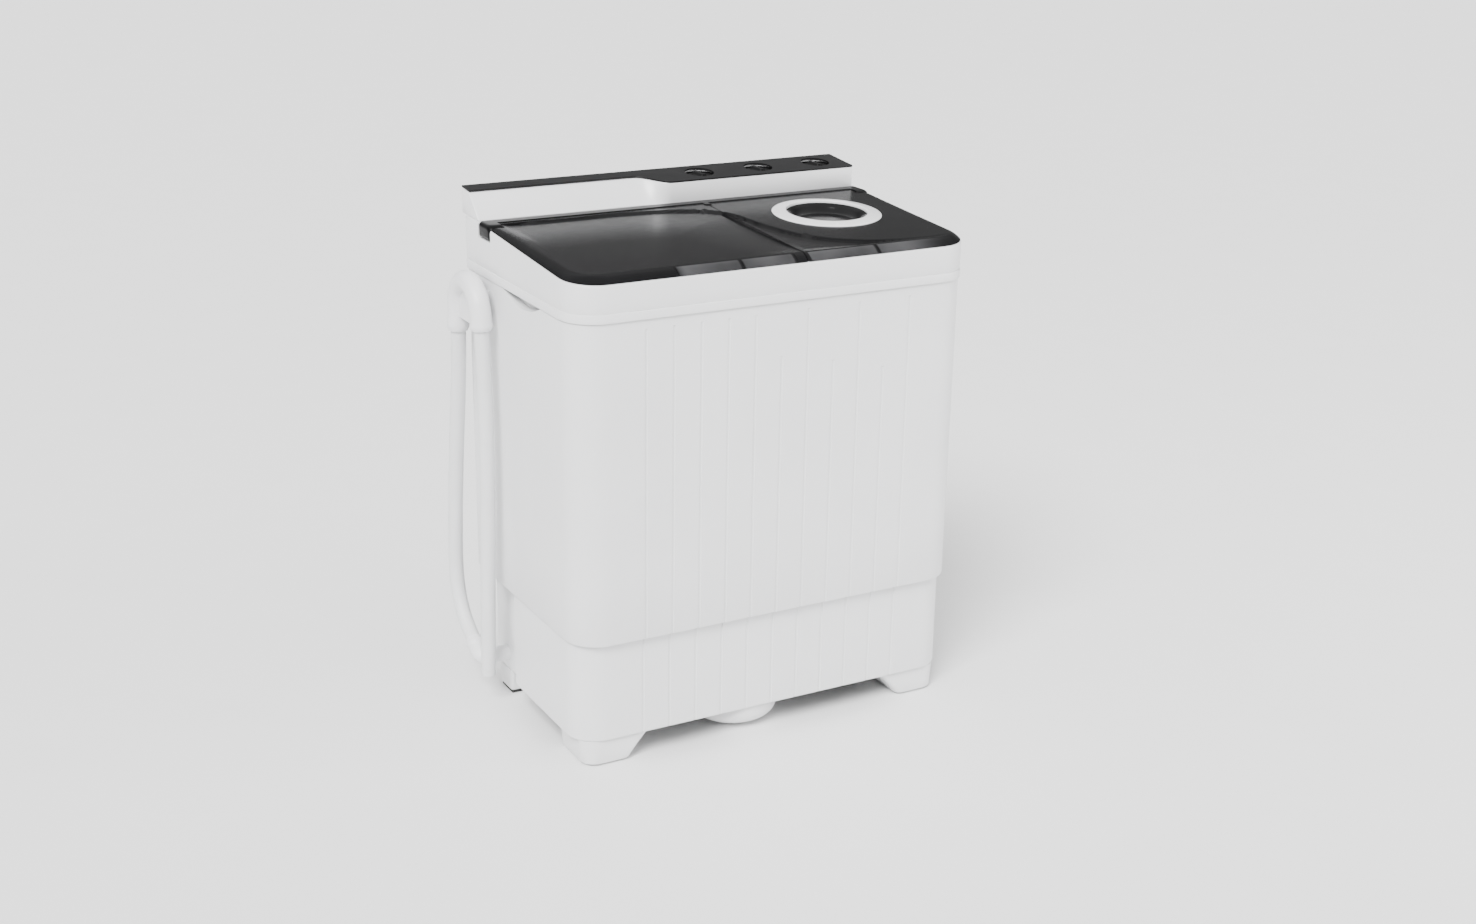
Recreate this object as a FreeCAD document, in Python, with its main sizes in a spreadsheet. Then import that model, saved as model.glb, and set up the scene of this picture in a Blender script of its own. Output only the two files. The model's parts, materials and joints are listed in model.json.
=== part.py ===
"""Twin tub washer: a wash tub and a spin tub side by side in one plastic cabinet.

All lengths are millimetres.  X runs to the right seen from the front, Y to the back and Z up.
The origin is on the floor under the middle of the cabinet.
"""
import FreeCAD, Part
import math
import os

import Sketcher

Vector = FreeCAD.Vector

doc = FreeCAD.newDocument("twin_tub_washer")
sheet = doc.addObject("Spreadsheet::Sheet", "Dims")

DIMENSIONS = {
    # cabinet
    "cabinet_width": 650, "cabinet_depth": 410, "wall": 3,
    "floor_level": 41.5, "seam_level": 196, "band_level": 671,
    "rim_front_level": 725, "rim_back_level": 749, "console_front": 133, "console_back": 205,
    "body_side": 323, "body_front": 202, "body_back": 196, "body_draft": 1, "body_corner": 50,
    "back_corner": 24, "groove_pitch": 43, "groove_width": 2.6, "groove_depth": 1.4,
    "grip_radius": 150, "grip_level": 655, "grip_y": -22, "grip_depth": 12,
    "base_side": 318, "base_front": 191, "base_rear": 44, "base_top": 214,
    "rear_side": 304, "rear_back": 148, "rear_corner": 22,
    # feet
    "foot_length": 90, "foot_outer": 305, "foot_inner": 235, "foot_top_inner": 202, "pad_height": 3,
    "rear_foot_width": 42, "rear_foot_length": 50, "rear_pad_height": 6,
    # top frame and deck
    "frame_back": 202, "opening_side": 311, "opening_front": 191, "opening_back": 132,
    "deck_level": 712, "deck_thick": 3, "seam_x": 40,
    # lids
    "lid_side": 323, "lid_front": 203, "lid_wall": 2.5, "lid_top_front": 186, "lid_top_side": 308,
    "lid_front_level": 736, "hinge_y": 105, "hinge_z": 747, "hinge_barrel": 3.6, "hinge_pin": 2.5,
    "hinge_play": 0.05, "boss_front": 86, "boss_side": 303, "rail_front": 109.5, "rail_back": 131.5,
    "rail_top": 751.5, "boss_level": 728, "ring_outer": 84, "ring_inner": 62, "window_hole": 70,
    # console
    "console_side": 320, "console_top_front": 784, "console_top_back": 791, "slope_foot": 140,
    "slope_head": 178, "curve_left": -52, "curve_right": -4, "fascia_thick": 2.5,
    "knob_radius": 20, "knob_y": 168, "knob_first": 60, "knob_pitch": 105, "well_radius": 23,
    "knob_base_level": 779.5, "knob_top_level": 787, "stem_radius": 3,
    # wash side
    "wash_x": -146, "wash_y": -38, "wash_half_width": 154, "wash_half_depth": 148, "wash_floor": 300,
    "tub_wall": 2.5, "pulsator_radius": 124, "drive_shaft_radius": 8, "pulley_level": 184,
    "pulley_width": 18, "driven_radius": 80, "driver_radius": 22, "motor_x": 0, "motor_y": 50,
    "motor_radius": 60, "motor_shaft_radius": 6, "running_play": 0.05,
    # spin side
    "spin_x": 188, "spin_y": -6, "spin_tub_radius": 127, "spin_floor": 292, "basket_radius": 108,
    "basket_floor": 322, "basket_top": 628, "spin_shaft_radius": 8, "spin_motor_radius": 62,
    "brake_radius": 62, "brake_level": 205, "brake_gap": 4.2,
    # drain
    "pump_x": -27, "pump_y": -116, "pump_radius": 36, "pipe_radius": 10, "hose_radius": 11.5,
    "sleeve_radius": 16, "hose_x": -348, "sleeve_play": 0.3,
}
for row, (alias, value) in enumerate(DIMENSIONS.items(), start=1):
    sheet.set(f"A{row}", alias)
    sheet.set(f"B{row}", str(value))
    sheet.setAlias(f"B{row}", alias)
doc.recompute()


class Size:
    """A length in mm together with its formula on the Dims sheet."""

    def __init__(self, value, formula=None):
        self.value = float(value)
        self.formula = formula
        self.text = formula if formula else f"({float(value)!r})"

    def joined(self, other, sign, value):
        other = as_size(other)
        formula = f"({self.text} {sign} {other.text})" if self.formula or other.formula else None
        return Size(value, formula)

    def __add__(self, other):
        return self.joined(other, "+", self.value + as_size(other).value)

    def __sub__(self, other):
        return self.joined(other, "-", self.value - as_size(other).value)

    def __mul__(self, other):
        return self.joined(other, "*", self.value * as_size(other).value)

    def __truediv__(self, other):
        return self.joined(other, "/", self.value / as_size(other).value)

    def __radd__(self, other):
        return as_size(other) + self

    def __rsub__(self, other):
        return as_size(other) - self

    def __rmul__(self, other):
        return as_size(other) * self

    def __neg__(self):
        return Size(0) - self

    def __float__(self):
        return self.value


def as_size(number):
    return number if isinstance(number, Size) else Size(number)


class Dimensions:
    """Reads every named cell of the sheet once, as a Size."""

    def __init__(self):
        for alias in DIMENSIONS:
            setattr(self, alias, Size(sheet.get(alias), f"Dims.{alias}"))


D = Dimensions()
NODES = []


def tie(item, path, size):
    """Sets one property and, where the size has a formula, binds it to the sheet."""
    size = as_size(size)
    if hasattr(item, path):
        setattr(item, path, size.value)
    if size.formula:
        item.setExpression(path, size.formula)


def place(item, x, y, z, rotation=None):
    item.Placement = FreeCAD.Placement(Vector(float(x), float(y), float(z)), rotation or FreeCAD.Rotation())
    for axis, size in zip("xyz", (x, y, z)):
        if as_size(size).formula:
            item.setExpression(f"Placement.Base.{axis}", size.formula)
    return item


TURN = {
    "Z": FreeCAD.Rotation(),
    "X": FreeCAD.Rotation(Vector(0, 1, 0), 90),
    "Y": FreeCAD.Rotation(Vector(1, 0, 0), -90),
}


def block(x0, x1, y0, y1, z0, z1):
    """A box between two corners."""
    item = doc.addObject("Part::Box", "block")
    x0, x1, y0, y1, z0, z1 = (as_size(v) for v in (x0, x1, y0, y1, z0, z1))
    tie(item, "Length", x1 - x0)
    tie(item, "Width", y1 - y0)
    tie(item, "Height", z1 - z0)
    return place(item, x0, y0, z0)


def rod(x, y, z, radius, length, along="Z"):
    """A cylinder that starts at a point and runs along an axis."""
    item = doc.addObject("Part::Cylinder", "rod")
    tie(item, "Radius", radius)
    tie(item, "Height", length)
    return place(item, x, y, z, TURN[along])


def cut(base, *tools):
    item = doc.addObject("Part::Cut", "cut")
    item.Base = base
    item.Tool = tools[0] if len(tools) == 1 else fuse(*tools)
    return item


def fuse(*parts):
    item = doc.addObject("Part::MultiFuse", "fuse")
    item.Shapes = list(parts)
    return item


def pile(*parts):
    """Separate solids kept together as one compound, for a group of like pieces."""
    item = doc.addObject("Part::Compound", "pile")
    item.Links = list(parts)
    return item


def node(name, item):
    """Names a finished sub-part."""
    item.Label = name
    NODES.append(item)
    return item


def fix_point(sketch, geometry, point, x, y):
    """Ties one sketch point to the sketch's origin."""
    for kind, size, axis in (("DistanceX", as_size(x), -2), ("DistanceY", as_size(y), -1)):
        if abs(size.value) < 1e-9:
            sketch.addConstraint(Sketcher.Constraint("PointOnObject", geometry, point, axis))
        else:
            index = sketch.addConstraint(Sketcher.Constraint(kind, -1, 1, geometry, point, size.value))
            if size.formula:
                sketch.setExpression(f"Constraints[{index}]", size.formula)


def draw_outline(sketch, points):
    """A closed outline of straight sides through points (u, v)."""
    corners = [Vector(float(u), float(v), 0) for u, v in points]
    for start, end in zip(corners, corners[1:] + corners[:1]):
        sketch.addGeometry(Part.LineSegment(start, end))
    for side in range(len(corners)):
        sketch.addConstraint(Sketcher.Constraint("Coincident", side, 2, (side + 1) % len(corners), 1))
    for side, (u, v) in enumerate(points):
        fix_point(sketch, side, 1, u, v)
    return sketch


def turned(x, y, z, profile, along="Z"):
    """A body of revolution: profile points are (radius, height) from the point x, y, z."""
    body = doc.addObject("PartDesign::Body", "turned")
    plane = next(f for f in body.Origin.OriginFeatures if f.Role == "XZ_Plane")
    sketch = body.newObject("Sketcher::SketchObject", "profile")
    sketch.AttachmentSupport = [(plane, "")]
    sketch.MapMode = "FlatFace"
    draw_outline(sketch, profile)
    spin = body.newObject("PartDesign::Revolution", "spin")
    spin.Profile = sketch
    spin.ReferenceAxis = (sketch, ["V_Axis"])
    spin.Angle = 360
    return place(body, x, y, z, TURN[along])


def drawn_bar(x, points, length):
    """A side view (y, z) drawn at x and extruded along X."""
    sketch = doc.addObject("Sketcher::SketchObject", "side_view")
    draw_outline(sketch, points)
    item = doc.addObject("Part::Extrusion", "bar")
    item.Base = sketch
    item.DirMode = "Custom"
    item.Dir = Vector(1, 0, 0)
    item.Solid = True
    place(sketch, x, 0, 0, FreeCAD.Rotation(Vector(1, 1, 1), 120))
    tie(item, "LengthFwd", length)
    return item


def outline(at, sides, corners, tilt=0.0):
    """A rounded four-sided sketch around a point.

    sides are the distances to left, right, front and back; corners are the radii at front left,
    front right, back right and back left.  tilt lifts the back, in degrees.
    """
    sketch = doc.addObject("Sketcher::SketchObject", "outline")
    left, right, front, back = (as_size(v) for v in sides)
    fl, fr, br, bl = (as_size(v) for v in corners)
    x0, x1, y0, y1 = -left.value, right.value, -front.value, back.value
    for ends in (
        ((x0 + fl.value, y0), (x1 - fr.value, y0)),
        ((x1, y0 + fr.value), (x1, y1 - br.value)),
        ((x1 - br.value, y1), (x0 + bl.value, y1)),
        ((x0, y1 - bl.value), (x0, y0 + fl.value)),
    ):
        sketch.addGeometry(Part.LineSegment(Vector(*ends[0], 0), Vector(*ends[1], 0)))
    turns = (
        (x1 - fr.value, y0 + fr.value, fr.value, -90),
        (x1 - br.value, y1 - br.value, br.value, 0),
        (x0 + bl.value, y1 - bl.value, bl.value, 90),
        (x0 + fl.value, y0 + fl.value, fl.value, 180),
    )
    for cx, cy, radius, start in turns:
        circle = Part.Circle(Vector(cx, cy, 0), Vector(0, 0, 1), radius)
        sketch.addGeometry(Part.ArcOfCircle(circle, math.radians(start), math.radians(start + 90)))
    rules = []
    for side in range(4):
        rules.append(Sketcher.Constraint("Tangent", side, 2, 4 + side, 1))
        rules.append(Sketcher.Constraint("Tangent", 4 + side, 2, (side + 1) % 4, 1))
        rules.append(Sketcher.Constraint("Horizontal" if side % 2 == 0 else "Vertical", side))
    sketch.addConstraint(rules)
    sized = (
        (Sketcher.Constraint("DistanceX", 3, 1, -1, 1, left.value), left),
        (Sketcher.Constraint("DistanceX", -1, 1, 1, 1, right.value), right),
        (Sketcher.Constraint("DistanceY", 0, 1, -1, 1, front.value), front),
        (Sketcher.Constraint("DistanceY", -1, 1, 2, 1, back.value), back),
        (Sketcher.Constraint("Radius", 4, fr.value), fr),
        (Sketcher.Constraint("Radius", 5, br.value), br),
        (Sketcher.Constraint("Radius", 6, bl.value), bl),
        (Sketcher.Constraint("Radius", 7, fl.value), fl),
    )
    for constraint, size in sized:
        index = sketch.addConstraint(constraint)
        if size.formula:
            sketch.setExpression(f"Constraints[{index}]", size.formula)
    return place(sketch, *at, FreeCAD.Rotation(Vector(1, 0, 0), tilt))


def loft(*sections):
    """A solid stretched straight from one outline to the next."""
    item = doc.addObject("Part::Loft", "loft")
    item.Sections = list(sections)
    item.Solid = True
    item.Ruled = True
    return item


def upright(sides, corners, z0, z1, at=(0, 0), draft=0):
    """A rounded box from z0 to z1; draft widens its top on all sides."""
    low = [as_size(v) - draft for v in sides]
    low_corners = [as_size(v) - draft for v in corners]
    return loft(outline((*at, z0), low, low_corners), outline((*at, z1), sides, corners))


def inset(sides, amount):
    return [as_size(v) - amount for v in sides]


def solid_feature(name, shape):
    """A shape worked out with Part's own functions."""
    item = doc.addObject("Part::Feature", "made")
    item.Shape = shape
    item.Placement = FreeCAD.Placement()
    return node(name, item) if name else item


RIM_TILT = math.degrees(math.atan2(float(D.rim_back_level - D.rim_front_level),
                                   float(D.console_front + D.cabinet_depth / 2)))
LID_TILT = math.degrees(math.atan2(float(D.rail_top - D.lid_front_level),
                                   float(D.rail_back + D.lid_top_front)))
half_depth = D.cabinet_depth / 2
half_width = D.cabinet_width / 2


def rim_level(y):
    """Height of the sloping rim at a distance y behind the middle."""
    run = D.console_front + half_depth
    return D.rim_front_level + (y + half_depth) * (D.rim_back_level - D.rim_front_level) / run


def lid_level(y):
    """Height of the lids' flat top at y."""
    rise = D.rail_top - D.lid_front_level
    return D.lid_front_level + (y + D.lid_top_front) * rise / (D.rail_back + D.lid_top_front)


# ---- outer body: the tall white shell, open on top, with a ledge at the bottom back
body_sides = [D.body_side, D.body_side, D.body_front, D.body_back]
body_corners = [D.body_corner, D.body_corner, D.back_corner, D.back_corner]
body_skin = upright(body_sides, body_corners, D.seam_level, D.band_level, draft=D.body_draft)
body_hollow = upright(inset(body_sides, D.wall), inset(body_corners, D.wall),
                      D.seam_level + D.wall, D.band_level + 1, draft=D.body_draft)
base_way = upright([D.base_side + 0.8, D.base_side + 0.8, D.base_front + 1.5, D.rear_back + 1],
                   [44, 44, 2, 2], D.seam_level - 5, D.seam_level + 5)
grip_floor = D.body_side - D.grip_depth
grip_back = grip_floor - D.wall
grip_walls = [block(x0, x0 + D.grip_depth + 1, D.grip_y - 78, D.grip_y + 78, D.grip_level - 6, D.band_level)
              for x0 in (-grip_back - D.grip_depth - 1, grip_back)]
grips = [rod(x, D.grip_y, D.grip_level + D.grip_radius, D.grip_radius, D.grip_depth + 5, "X")
         for x in (-D.body_side - 5, grip_floor)]


def flutes(front, low, high):
    """The eleven upright grooves cut into a front wall whose outer face is at -front."""
    half, bottom = D.groove_width / 2, -front + D.groove_depth + D.body_draft / 2
    return [block(D.groove_pitch * step - half, D.groove_pitch * step + half, -front - 1, bottom, low, high)
            for step in range(-5, 6)]


front_grooves = flutes(D.body_front, D.seam_level - 1, D.band_level - 14)
back_window = block(-215, 215, D.body_back - 10, D.body_back + 5, 265, 595)
screw_spots = [(x, z) for x in (-225, 0, 225) for z in (255, 605)] + [(-225, 430), (225, 430)]
panel_holes = [rod(x, D.body_back - 10, z, 1.8, 20, "Y") for x, z in screw_spots]
body_shell = cut(body_skin, body_hollow, base_way)
node("outer_body", cut(fuse(body_shell, *grip_walls), *grips, *front_grooves, back_window, *panel_holes))

# ---- base: the narrower shell under the body, open at the back where the rear cover closes it
base_sides = [D.base_side, D.base_side, D.base_front, D.base_rear]
base_corners = [Size(46), Size(46), Size(2), Size(2)]
base_skin = upright(base_sides, base_corners, D.floor_level, D.base_top, draft=1)
base_hollow = upright([D.base_side - D.wall, D.base_side - D.wall, D.base_front - D.wall, D.base_rear + 20],
                      [43, 43, 2, 2], D.floor_level + 4, D.base_top + 5, draft=1)
base_grooves = flutes(D.base_front, D.floor_level - 1, D.base_top + 1)
sump_hole = rod(D.pump_x, D.pump_y, D.floor_level - 5, 46, 20)
node("base_shell", cut(base_skin, base_hollow, sump_hole, *base_grooves))

# ---- rear base cover: a tray with a rounded lower back edge that closes the back of the base
rear_low = D.rear_corner * (1 - math.cos(math.radians(45)))


def rear_view(gap, front):
    """Side view of the rear cover, moved inwards by gap, with its rounded lower edge in three facets."""
    back, low = D.rear_back - gap, D.floor_level + gap
    high = D.seam_level - 0.5 + gap * 2
    return [(front, low), (back - D.rear_corner, low), (back - rear_low, low + rear_low),
            (back, low + D.rear_corner), (back, high), (front, high)]


rear_skin = drawn_bar(-D.rear_side, rear_view(0, D.base_rear + 0.3), D.rear_side * 2)
rear_hollow = drawn_bar(-D.rear_side + D.wall, rear_view(D.wall, D.base_rear - 5),
                        (D.rear_side - D.wall) * 2)

# ---- drain hose route: points (y, z) in the plane beside the left wall
hose_route = [
    (141, 86), (172, 104), (194.5, 132.5), (206, 167), (207, 215), (200, 300), (186, 400), (171, 490),
    (163, 572), (163, 640), (136.3, 666.7), (98.7, 666.7), (72, 640), (69.5, 588), (63, 500), (62, 400),
    (67, 285), (75, 165), (80, 52),
]


def smooth_path(points, report=""):
    """Straight runs joined by tangent arcs, each arc as large as its two runs allow."""
    edges, start = [], points[0]
    radii = []
    for before, corner, after in zip(points, points[1:], points[2:]):
        to_before, to_after = before - corner, after - corner
        half_turn = (math.pi - to_before.getAngle(to_after)) / 2
        reach = 0.45 * min(to_before.Length, to_after.Length)
        radius = reach / math.tan(half_turn)
        first = corner + Vector(to_before).normalize() * reach
        last = corner + Vector(to_after).normalize() * reach
        bisector = (Vector(to_before).normalize() + Vector(to_after).normalize()).normalize()
        centre = corner + bisector * math.hypot(reach, radius)
        middle = centre - bisector * radius
        edges += [Part.LineSegment(start, first).toShape(), Part.Arc(first, middle, last).toShape()]
        start = last
        radii.append(round(radius))
    edges.append(Part.LineSegment(start, points[-1]).toShape())
    if report:
        print(report, "arc radii in mm:", radii)
    return Part.Wire(edges)


def piped(points, radius, report=""):
    """A round solid carried along a smooth path; its volume is compared with section times length."""
    path = smooth_path(points, report)
    circle = Part.Wire([Part.makeCircle(float(radius), points[0], points[1] - points[0])])
    solid = path.makePipeShell([circle], True, False)
    expected = math.pi * float(radius) ** 2 * path.Length
    if abs(solid.Volume / expected - 1) > 0.01:
        raise ValueError(f"pipe volume {solid.Volume:.0f} is not section times length {expected:.0f}")
    if report:
        print(report, "length in mm:", round(path.Length))
    return solid


hose_points = [Vector(float(D.hose_x), y, z) for y, z in hose_route]
solid_feature("drain_hose", piped(hose_points, D.hose_radius, "drain_hose"))

# the spout: an elbow out of the rear cover's left side, in line with the hose's first run
first_run = (hose_points[1] - hose_points[0]).normalize()
spout_corner = hose_points[0] - first_run * 37
spout_root = Vector(-float(D.rear_side) + 12, spout_corner.y, spout_corner.z)
solid_feature("hose_spout", piped([spout_root, spout_corner, hose_points[0]], float(D.hose_radius) + 1))
spout_hole = rod(-D.rear_side - 5, spout_corner.y, spout_corner.z, D.hose_radius + 1.3, 20, "X")
cord_hole = rod(230, D.rear_back - 10, 110, 6.2, 20, "Y")
node("rear_base_cover", cut(rear_skin, rear_hollow, spout_hole, cord_hole))

# the guide: a stiff bent sleeve round the top of the hose, with a web and a tongue to the wall
rear_end = hose_points[9] + (hose_points[8] - hose_points[9]).normalize() * 58
front_end = hose_points[12] + (hose_points[13] - hose_points[12]).normalize() * 40
sleeve_route = [rear_end] + hose_points[9:13] + [front_end]
sleeve_bore = float(D.hose_radius + D.sleeve_play)
sleeve = piped(sleeve_route, D.sleeve_radius).cut(piped(sleeve_route, sleeve_bore))
web = Part.makeBox(8, 64, 16, Vector(float(D.hose_x) - 4, 85.5, 622))
tongue = Part.makeBox(20.4, 20, 12, Vector(float(D.hose_x), 108, 624))
guide = sleeve.fuse([web, tongue]).cut(piped(sleeve_route, sleeve_bore))
solid_feature("hose_guide", guide)
node("hose_bracket", cut(block(-D.body_side - 4, -D.body_side + 0.1, 98, 138, 612, 654),
                         block(-D.body_side - 6, -D.body_side - 2, 106, 130, 622, 638)))

# ---- feet: two front feet with a slanted inner end and two short rear legs, each on a rubber pad
for name, side in (("foot_front_left", -1), ("foot_front_right", 1)):
    xs = [side * D.foot_outer, side * D.foot_inner, side * D.foot_top_inner, side * (D.foot_outer + 3)]
    sketch = doc.addObject("Sketcher::SketchObject", "front_view")
    draw_outline(sketch, [(xs[0], D.pad_height), (xs[1], D.pad_height), (xs[2], D.floor_level),
                          (xs[3], D.floor_level)])
    place(sketch, 0, -186, 0, FreeCAD.Rotation(Vector(1, 0, 0), 90))
    foot = doc.addObject("Part::Extrusion", "foot")
    foot.Base, foot.DirMode, foot.Dir, foot.Solid = sketch, "Custom", Vector(0, 1, 0), True
    tie(foot, "LengthFwd", D.foot_length)
    node(name, foot)
rear_foot_front = D.rear_back - 2 - D.rear_foot_length
for name, side in (("foot_rear_left", -1), ("foot_rear_right", 1)):
    x0 = D.rear_side * side - (D.rear_foot_width if side > 0 else 0)
    node(name, block(x0, x0 + D.rear_foot_width, rear_foot_front, D.rear_back - 4,
                     D.rear_pad_height, D.floor_level))
pads = [rod(side * 270, -141, 0, 14, D.pad_height) for side in (-1, 1)]
pads += [block(side * 283 - 18, side * 283 + 18, rear_foot_front + 3, D.rear_back - 8, 0, D.rear_pad_height)
         for side in (-1, 1)]
node("foot_pads", pile(*pads))

# ---- top frame: the white band round the tubs; its rim slopes down to the front
rim_end = half_depth + 10


def above_rim(drop):
    """Everything above the sloping rim, lowered by drop."""
    return drawn_bar(-half_width - 10, [
        (-rim_end, rim_level(-rim_end) - drop), (D.console_front, D.rim_back_level - drop),
        (rim_end, D.rim_back_level - drop), (rim_end, 820), (-rim_end, 820)], half_width * 2 + 20)


frame_sides = [half_width, half_width, half_depth, D.frame_back]
frame_corners = [Size(52), Size(52), Size(26), Size(26)]
frame_block = cut(upright(frame_sides, frame_corners, D.band_level, 790), above_rim(0))
frame_hollow = cut(upright(inset(frame_sides, D.wall), inset(frame_corners, D.wall), D.band_level - 5, 788),
                   above_rim(D.wall))
frame_opening = upright([D.opening_side, D.opening_side, D.opening_front, D.opening_back],
                        [38, 38, 4, 4], D.band_level - 5, 795)
timer_bay = block(-30, 306, D.console_front + 9, D.console_back - 14, 740, 755)
boss_room = 0.3
notches = [block(x0, x0 + 40, D.boss_front - boss_room, D.rail_back + boss_room,
                 D.boss_level - boss_room, 760)
           for x0 in (-D.boss_side + boss_room - 40, D.boss_side - boss_room)]
node("top_frame", cut(frame_block, frame_hollow, frame_opening, timer_bay, *notches))

# ---- deck panel: the black plate between the rim and the two tub mouths
deck_top = D.deck_level + D.deck_thick
deck_sides = [half_width - 5, half_width - 5, half_depth - 6, D.frame_back - 6]
deck_plate = upright(deck_sides, [44, 44, 20, 20], D.deck_level, deck_top)
wash_mouth = upright([D.wash_half_width - 6, D.wash_half_width - 6, D.wash_half_depth - 6,
                      D.wash_half_depth - 10], [66, 66, 66, 66], D.deck_level - 5, deck_top + 5,
                     at=(D.wash_x, D.wash_y))
spin_mouth = rod(D.spin_x, D.spin_y, D.deck_level - 5, 102, 20)
node("deck_panel", cut(deck_plate, wash_mouth, spin_mouth))

# ---- hinge rail: the black strip behind the lids, with a boss at each end and one in the middle
rail_bar = cut(block(-D.boss_side, D.boss_side, D.rail_front, D.rail_back, deck_top, D.rail_top),
               block(-D.boss_side + 3, D.boss_side - 3, D.rail_front + 2.5, D.rail_back - 2.5,
                     deck_top - 5, D.rail_top - 2.5))
end_bosses = [block(x0, x0 + half_width - D.boss_side, D.boss_front, D.rail_back, D.boss_level, D.rail_top)
              for x0 in (-half_width, D.boss_side)]
middle_boss = block(D.seam_x - 4.5, D.seam_x + 4.5, D.hinge_y - 8, D.rail_front + 1,
                    D.hinge_z - 8, D.rail_top)
pin_bores = [rod(x, D.hinge_y, D.hinge_z, D.hinge_pin + D.hinge_play, length, "X") for x, length in (
    (-D.boss_side - 12, 14), (D.seam_x - 5, 10), (D.boss_side - 2, 14))]
node("hinge_rail", cut(fuse(rail_bar, *end_bosses, middle_boss), *pin_bores))


# ---- lids: smoked plastic trays, upside down, with a barrel and stub pins along the back
def lid_shell(x_middle, left, right, corners, top_left, top_right):
    """A lid between the rim plane and its own flatter top, hollow from below."""
    y_middle = D.wash_y
    front, back = D.lid_front + y_middle, D.hinge_y - y_middle - 0.3
    top_front = D.lid_top_front + y_middle
    big, small = corners

    def layer(level, tilt, sides, radii, drop, thin):
        return outline((x_middle, y_middle, level - drop), inset(sides, thin), radii, tilt)

    low = rim_level(y_middle) + 0.4
    high = lid_level(y_middle)
    low_sides, high_sides = [left, right, front, back], [top_left, top_right, top_front, back]
    skin = loft(layer(low, RIM_TILT, low_sides, big, 0, 0), layer(high, LID_TILT, high_sides, small, 0, 0))
    thin_big = [v - 1.5 if v > 5 else 1.0 for v in big]
    thin_small = [v - 1.5 if v > 5 else 1.0 for v in small]
    hollow = loft(layer(low, RIM_TILT, low_sides, thin_big, 0.5, D.lid_wall),
                  layer(high, LID_TILT, high_sides, thin_small, D.lid_wall, D.lid_wall))
    return cut(skin, hollow)


boss_gap = 0.6
barrel_ends = {"wash": (-D.boss_side + boss_gap, D.seam_x - 4.5 - boss_gap),
               "spin": (D.seam_x + 4.5 + boss_gap, D.boss_side - boss_gap)}


def hinge_edge(side):
    """The barrel along a lid's back edge with a stub pin at each end."""
    x0, x1 = barrel_ends[side]
    return [rod(x0, D.hinge_y, D.hinge_z, D.hinge_barrel, x1 - x0, "X"),
            rod(x0 - 4.4, D.hinge_y, D.hinge_z, D.hinge_pin, x1 - x0 + 8.8, "X")]


def boss_clearance(x0, x1):
    """Room that a lid leaves round a fixed boss, over the lid's whole height."""
    return block(x0, x1, D.boss_front - 1.5, D.hinge_y + 10, D.boss_level - 10, D.rail_top + 20)


middle_room = block(D.seam_x - 5.1, D.seam_x + 5.1, D.hinge_y - 9.5, D.hinge_y + 10, 720, 780)
wash_shell = lid_shell(D.wash_x, D.lid_side + D.wash_x, D.seam_x - 0.5 - D.wash_x,
                       ((50, 2, 2, 2), (37, 2, 2, 2)), D.lid_top_side + D.wash_x, D.seam_x - 0.5 - D.wash_x)
wash_trimmed = cut(wash_shell, boss_clearance(-half_width - 5, -D.boss_side + boss_gap), middle_room)
node("wash_lid", fuse(wash_trimmed, *hinge_edge("wash")))

ring_top = lid_level(D.spin_y)
lid_rotation = FreeCAD.Rotation(Vector(1, 0, 0), LID_TILT)
spin_shell = lid_shell(D.spin_x, D.spin_x - D.seam_x - 0.5, D.lid_side - D.spin_x,
                       ((2, 50, 2, 2), (2, 37, 2, 2)), D.spin_x - D.seam_x - 0.5, D.lid_top_side - D.spin_x)
window_cut = turned(0, 0, 0, [(0, -20), (D.window_hole, -20), (D.window_hole, 20), (0, 20)])
place(window_cut, D.spin_x, D.spin_y, ring_top, lid_rotation)
spin_trimmed = cut(spin_shell, boss_clearance(D.boss_side - boss_gap, half_width + 5), middle_room,
                   window_cut)
node("spin_lid", fuse(spin_trimmed, *hinge_edge("spin")))
lid_ring = turned(0, 0, 0, [(D.ring_inner, 0.1), (D.ring_outer, 0.1), (D.ring_outer, 1.2),
                            (D.ring_inner + 4, 4), (D.ring_inner + 1, 4), (D.ring_inner, 3)])
node("spin_lid_ring", place(lid_ring, D.spin_x, D.spin_y, ring_top, lid_rotation))
lid_window = turned(0, 0, 0, [(0, -16), (52, -16), (64, -4), (D.window_hole - 0.3, -4),
                              (D.window_hole - 0.3, 0), (61, 0), (50, -13), (0, -13)])
node("spin_lid_window", place(lid_window, D.spin_x, D.spin_y, ring_top, lid_rotation))


# ---- console: a ridge behind the lids; its front swings in an S from a slope on the left to upright
CURVE_STEPS = 8


def console_top(y):
    """Height of the console's gently rising top at y."""
    rise = D.console_top_back - D.console_top_front
    return float(D.console_top_front + (y - D.console_front) * rise / (D.console_back - D.console_front))


def console_stations(x_left, x_right):
    """Pairs (x, share): share goes from 0, the sloped front, to 1, the upright front."""
    stations = [(x_left, 0.0)]
    for step in range(CURVE_STEPS + 1):
        way = step / CURVE_STEPS
        x = float(D.curve_left + (D.curve_right - D.curve_left) * way)
        stations.append((x, (1 - math.cos(math.pi * way)) / 2))
    return stations + [(x_right, 1.0)]


def console_solid(x_left, x_right, low, sink, skin):
    """The console's outline from the height low to sink below its top, thinned by skin."""
    sections = []
    for x, share in console_stations(x_left, x_right):
        foot = float(D.slope_foot + (D.console_front - D.slope_foot) * share) + skin
        head = float(D.slope_head + (D.console_front - D.slope_head) * share) + skin
        back = float(D.console_back) - skin
        corners = [(foot, low), (head, console_top(head) - sink),
                   (back, console_top(back) - sink), (back, low)]
        sections.append(Part.makePolygon([Vector(x, y, z) for y, z in corners + corners[:1]]))
    return Part.makeLoft(sections, True, True)


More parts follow.
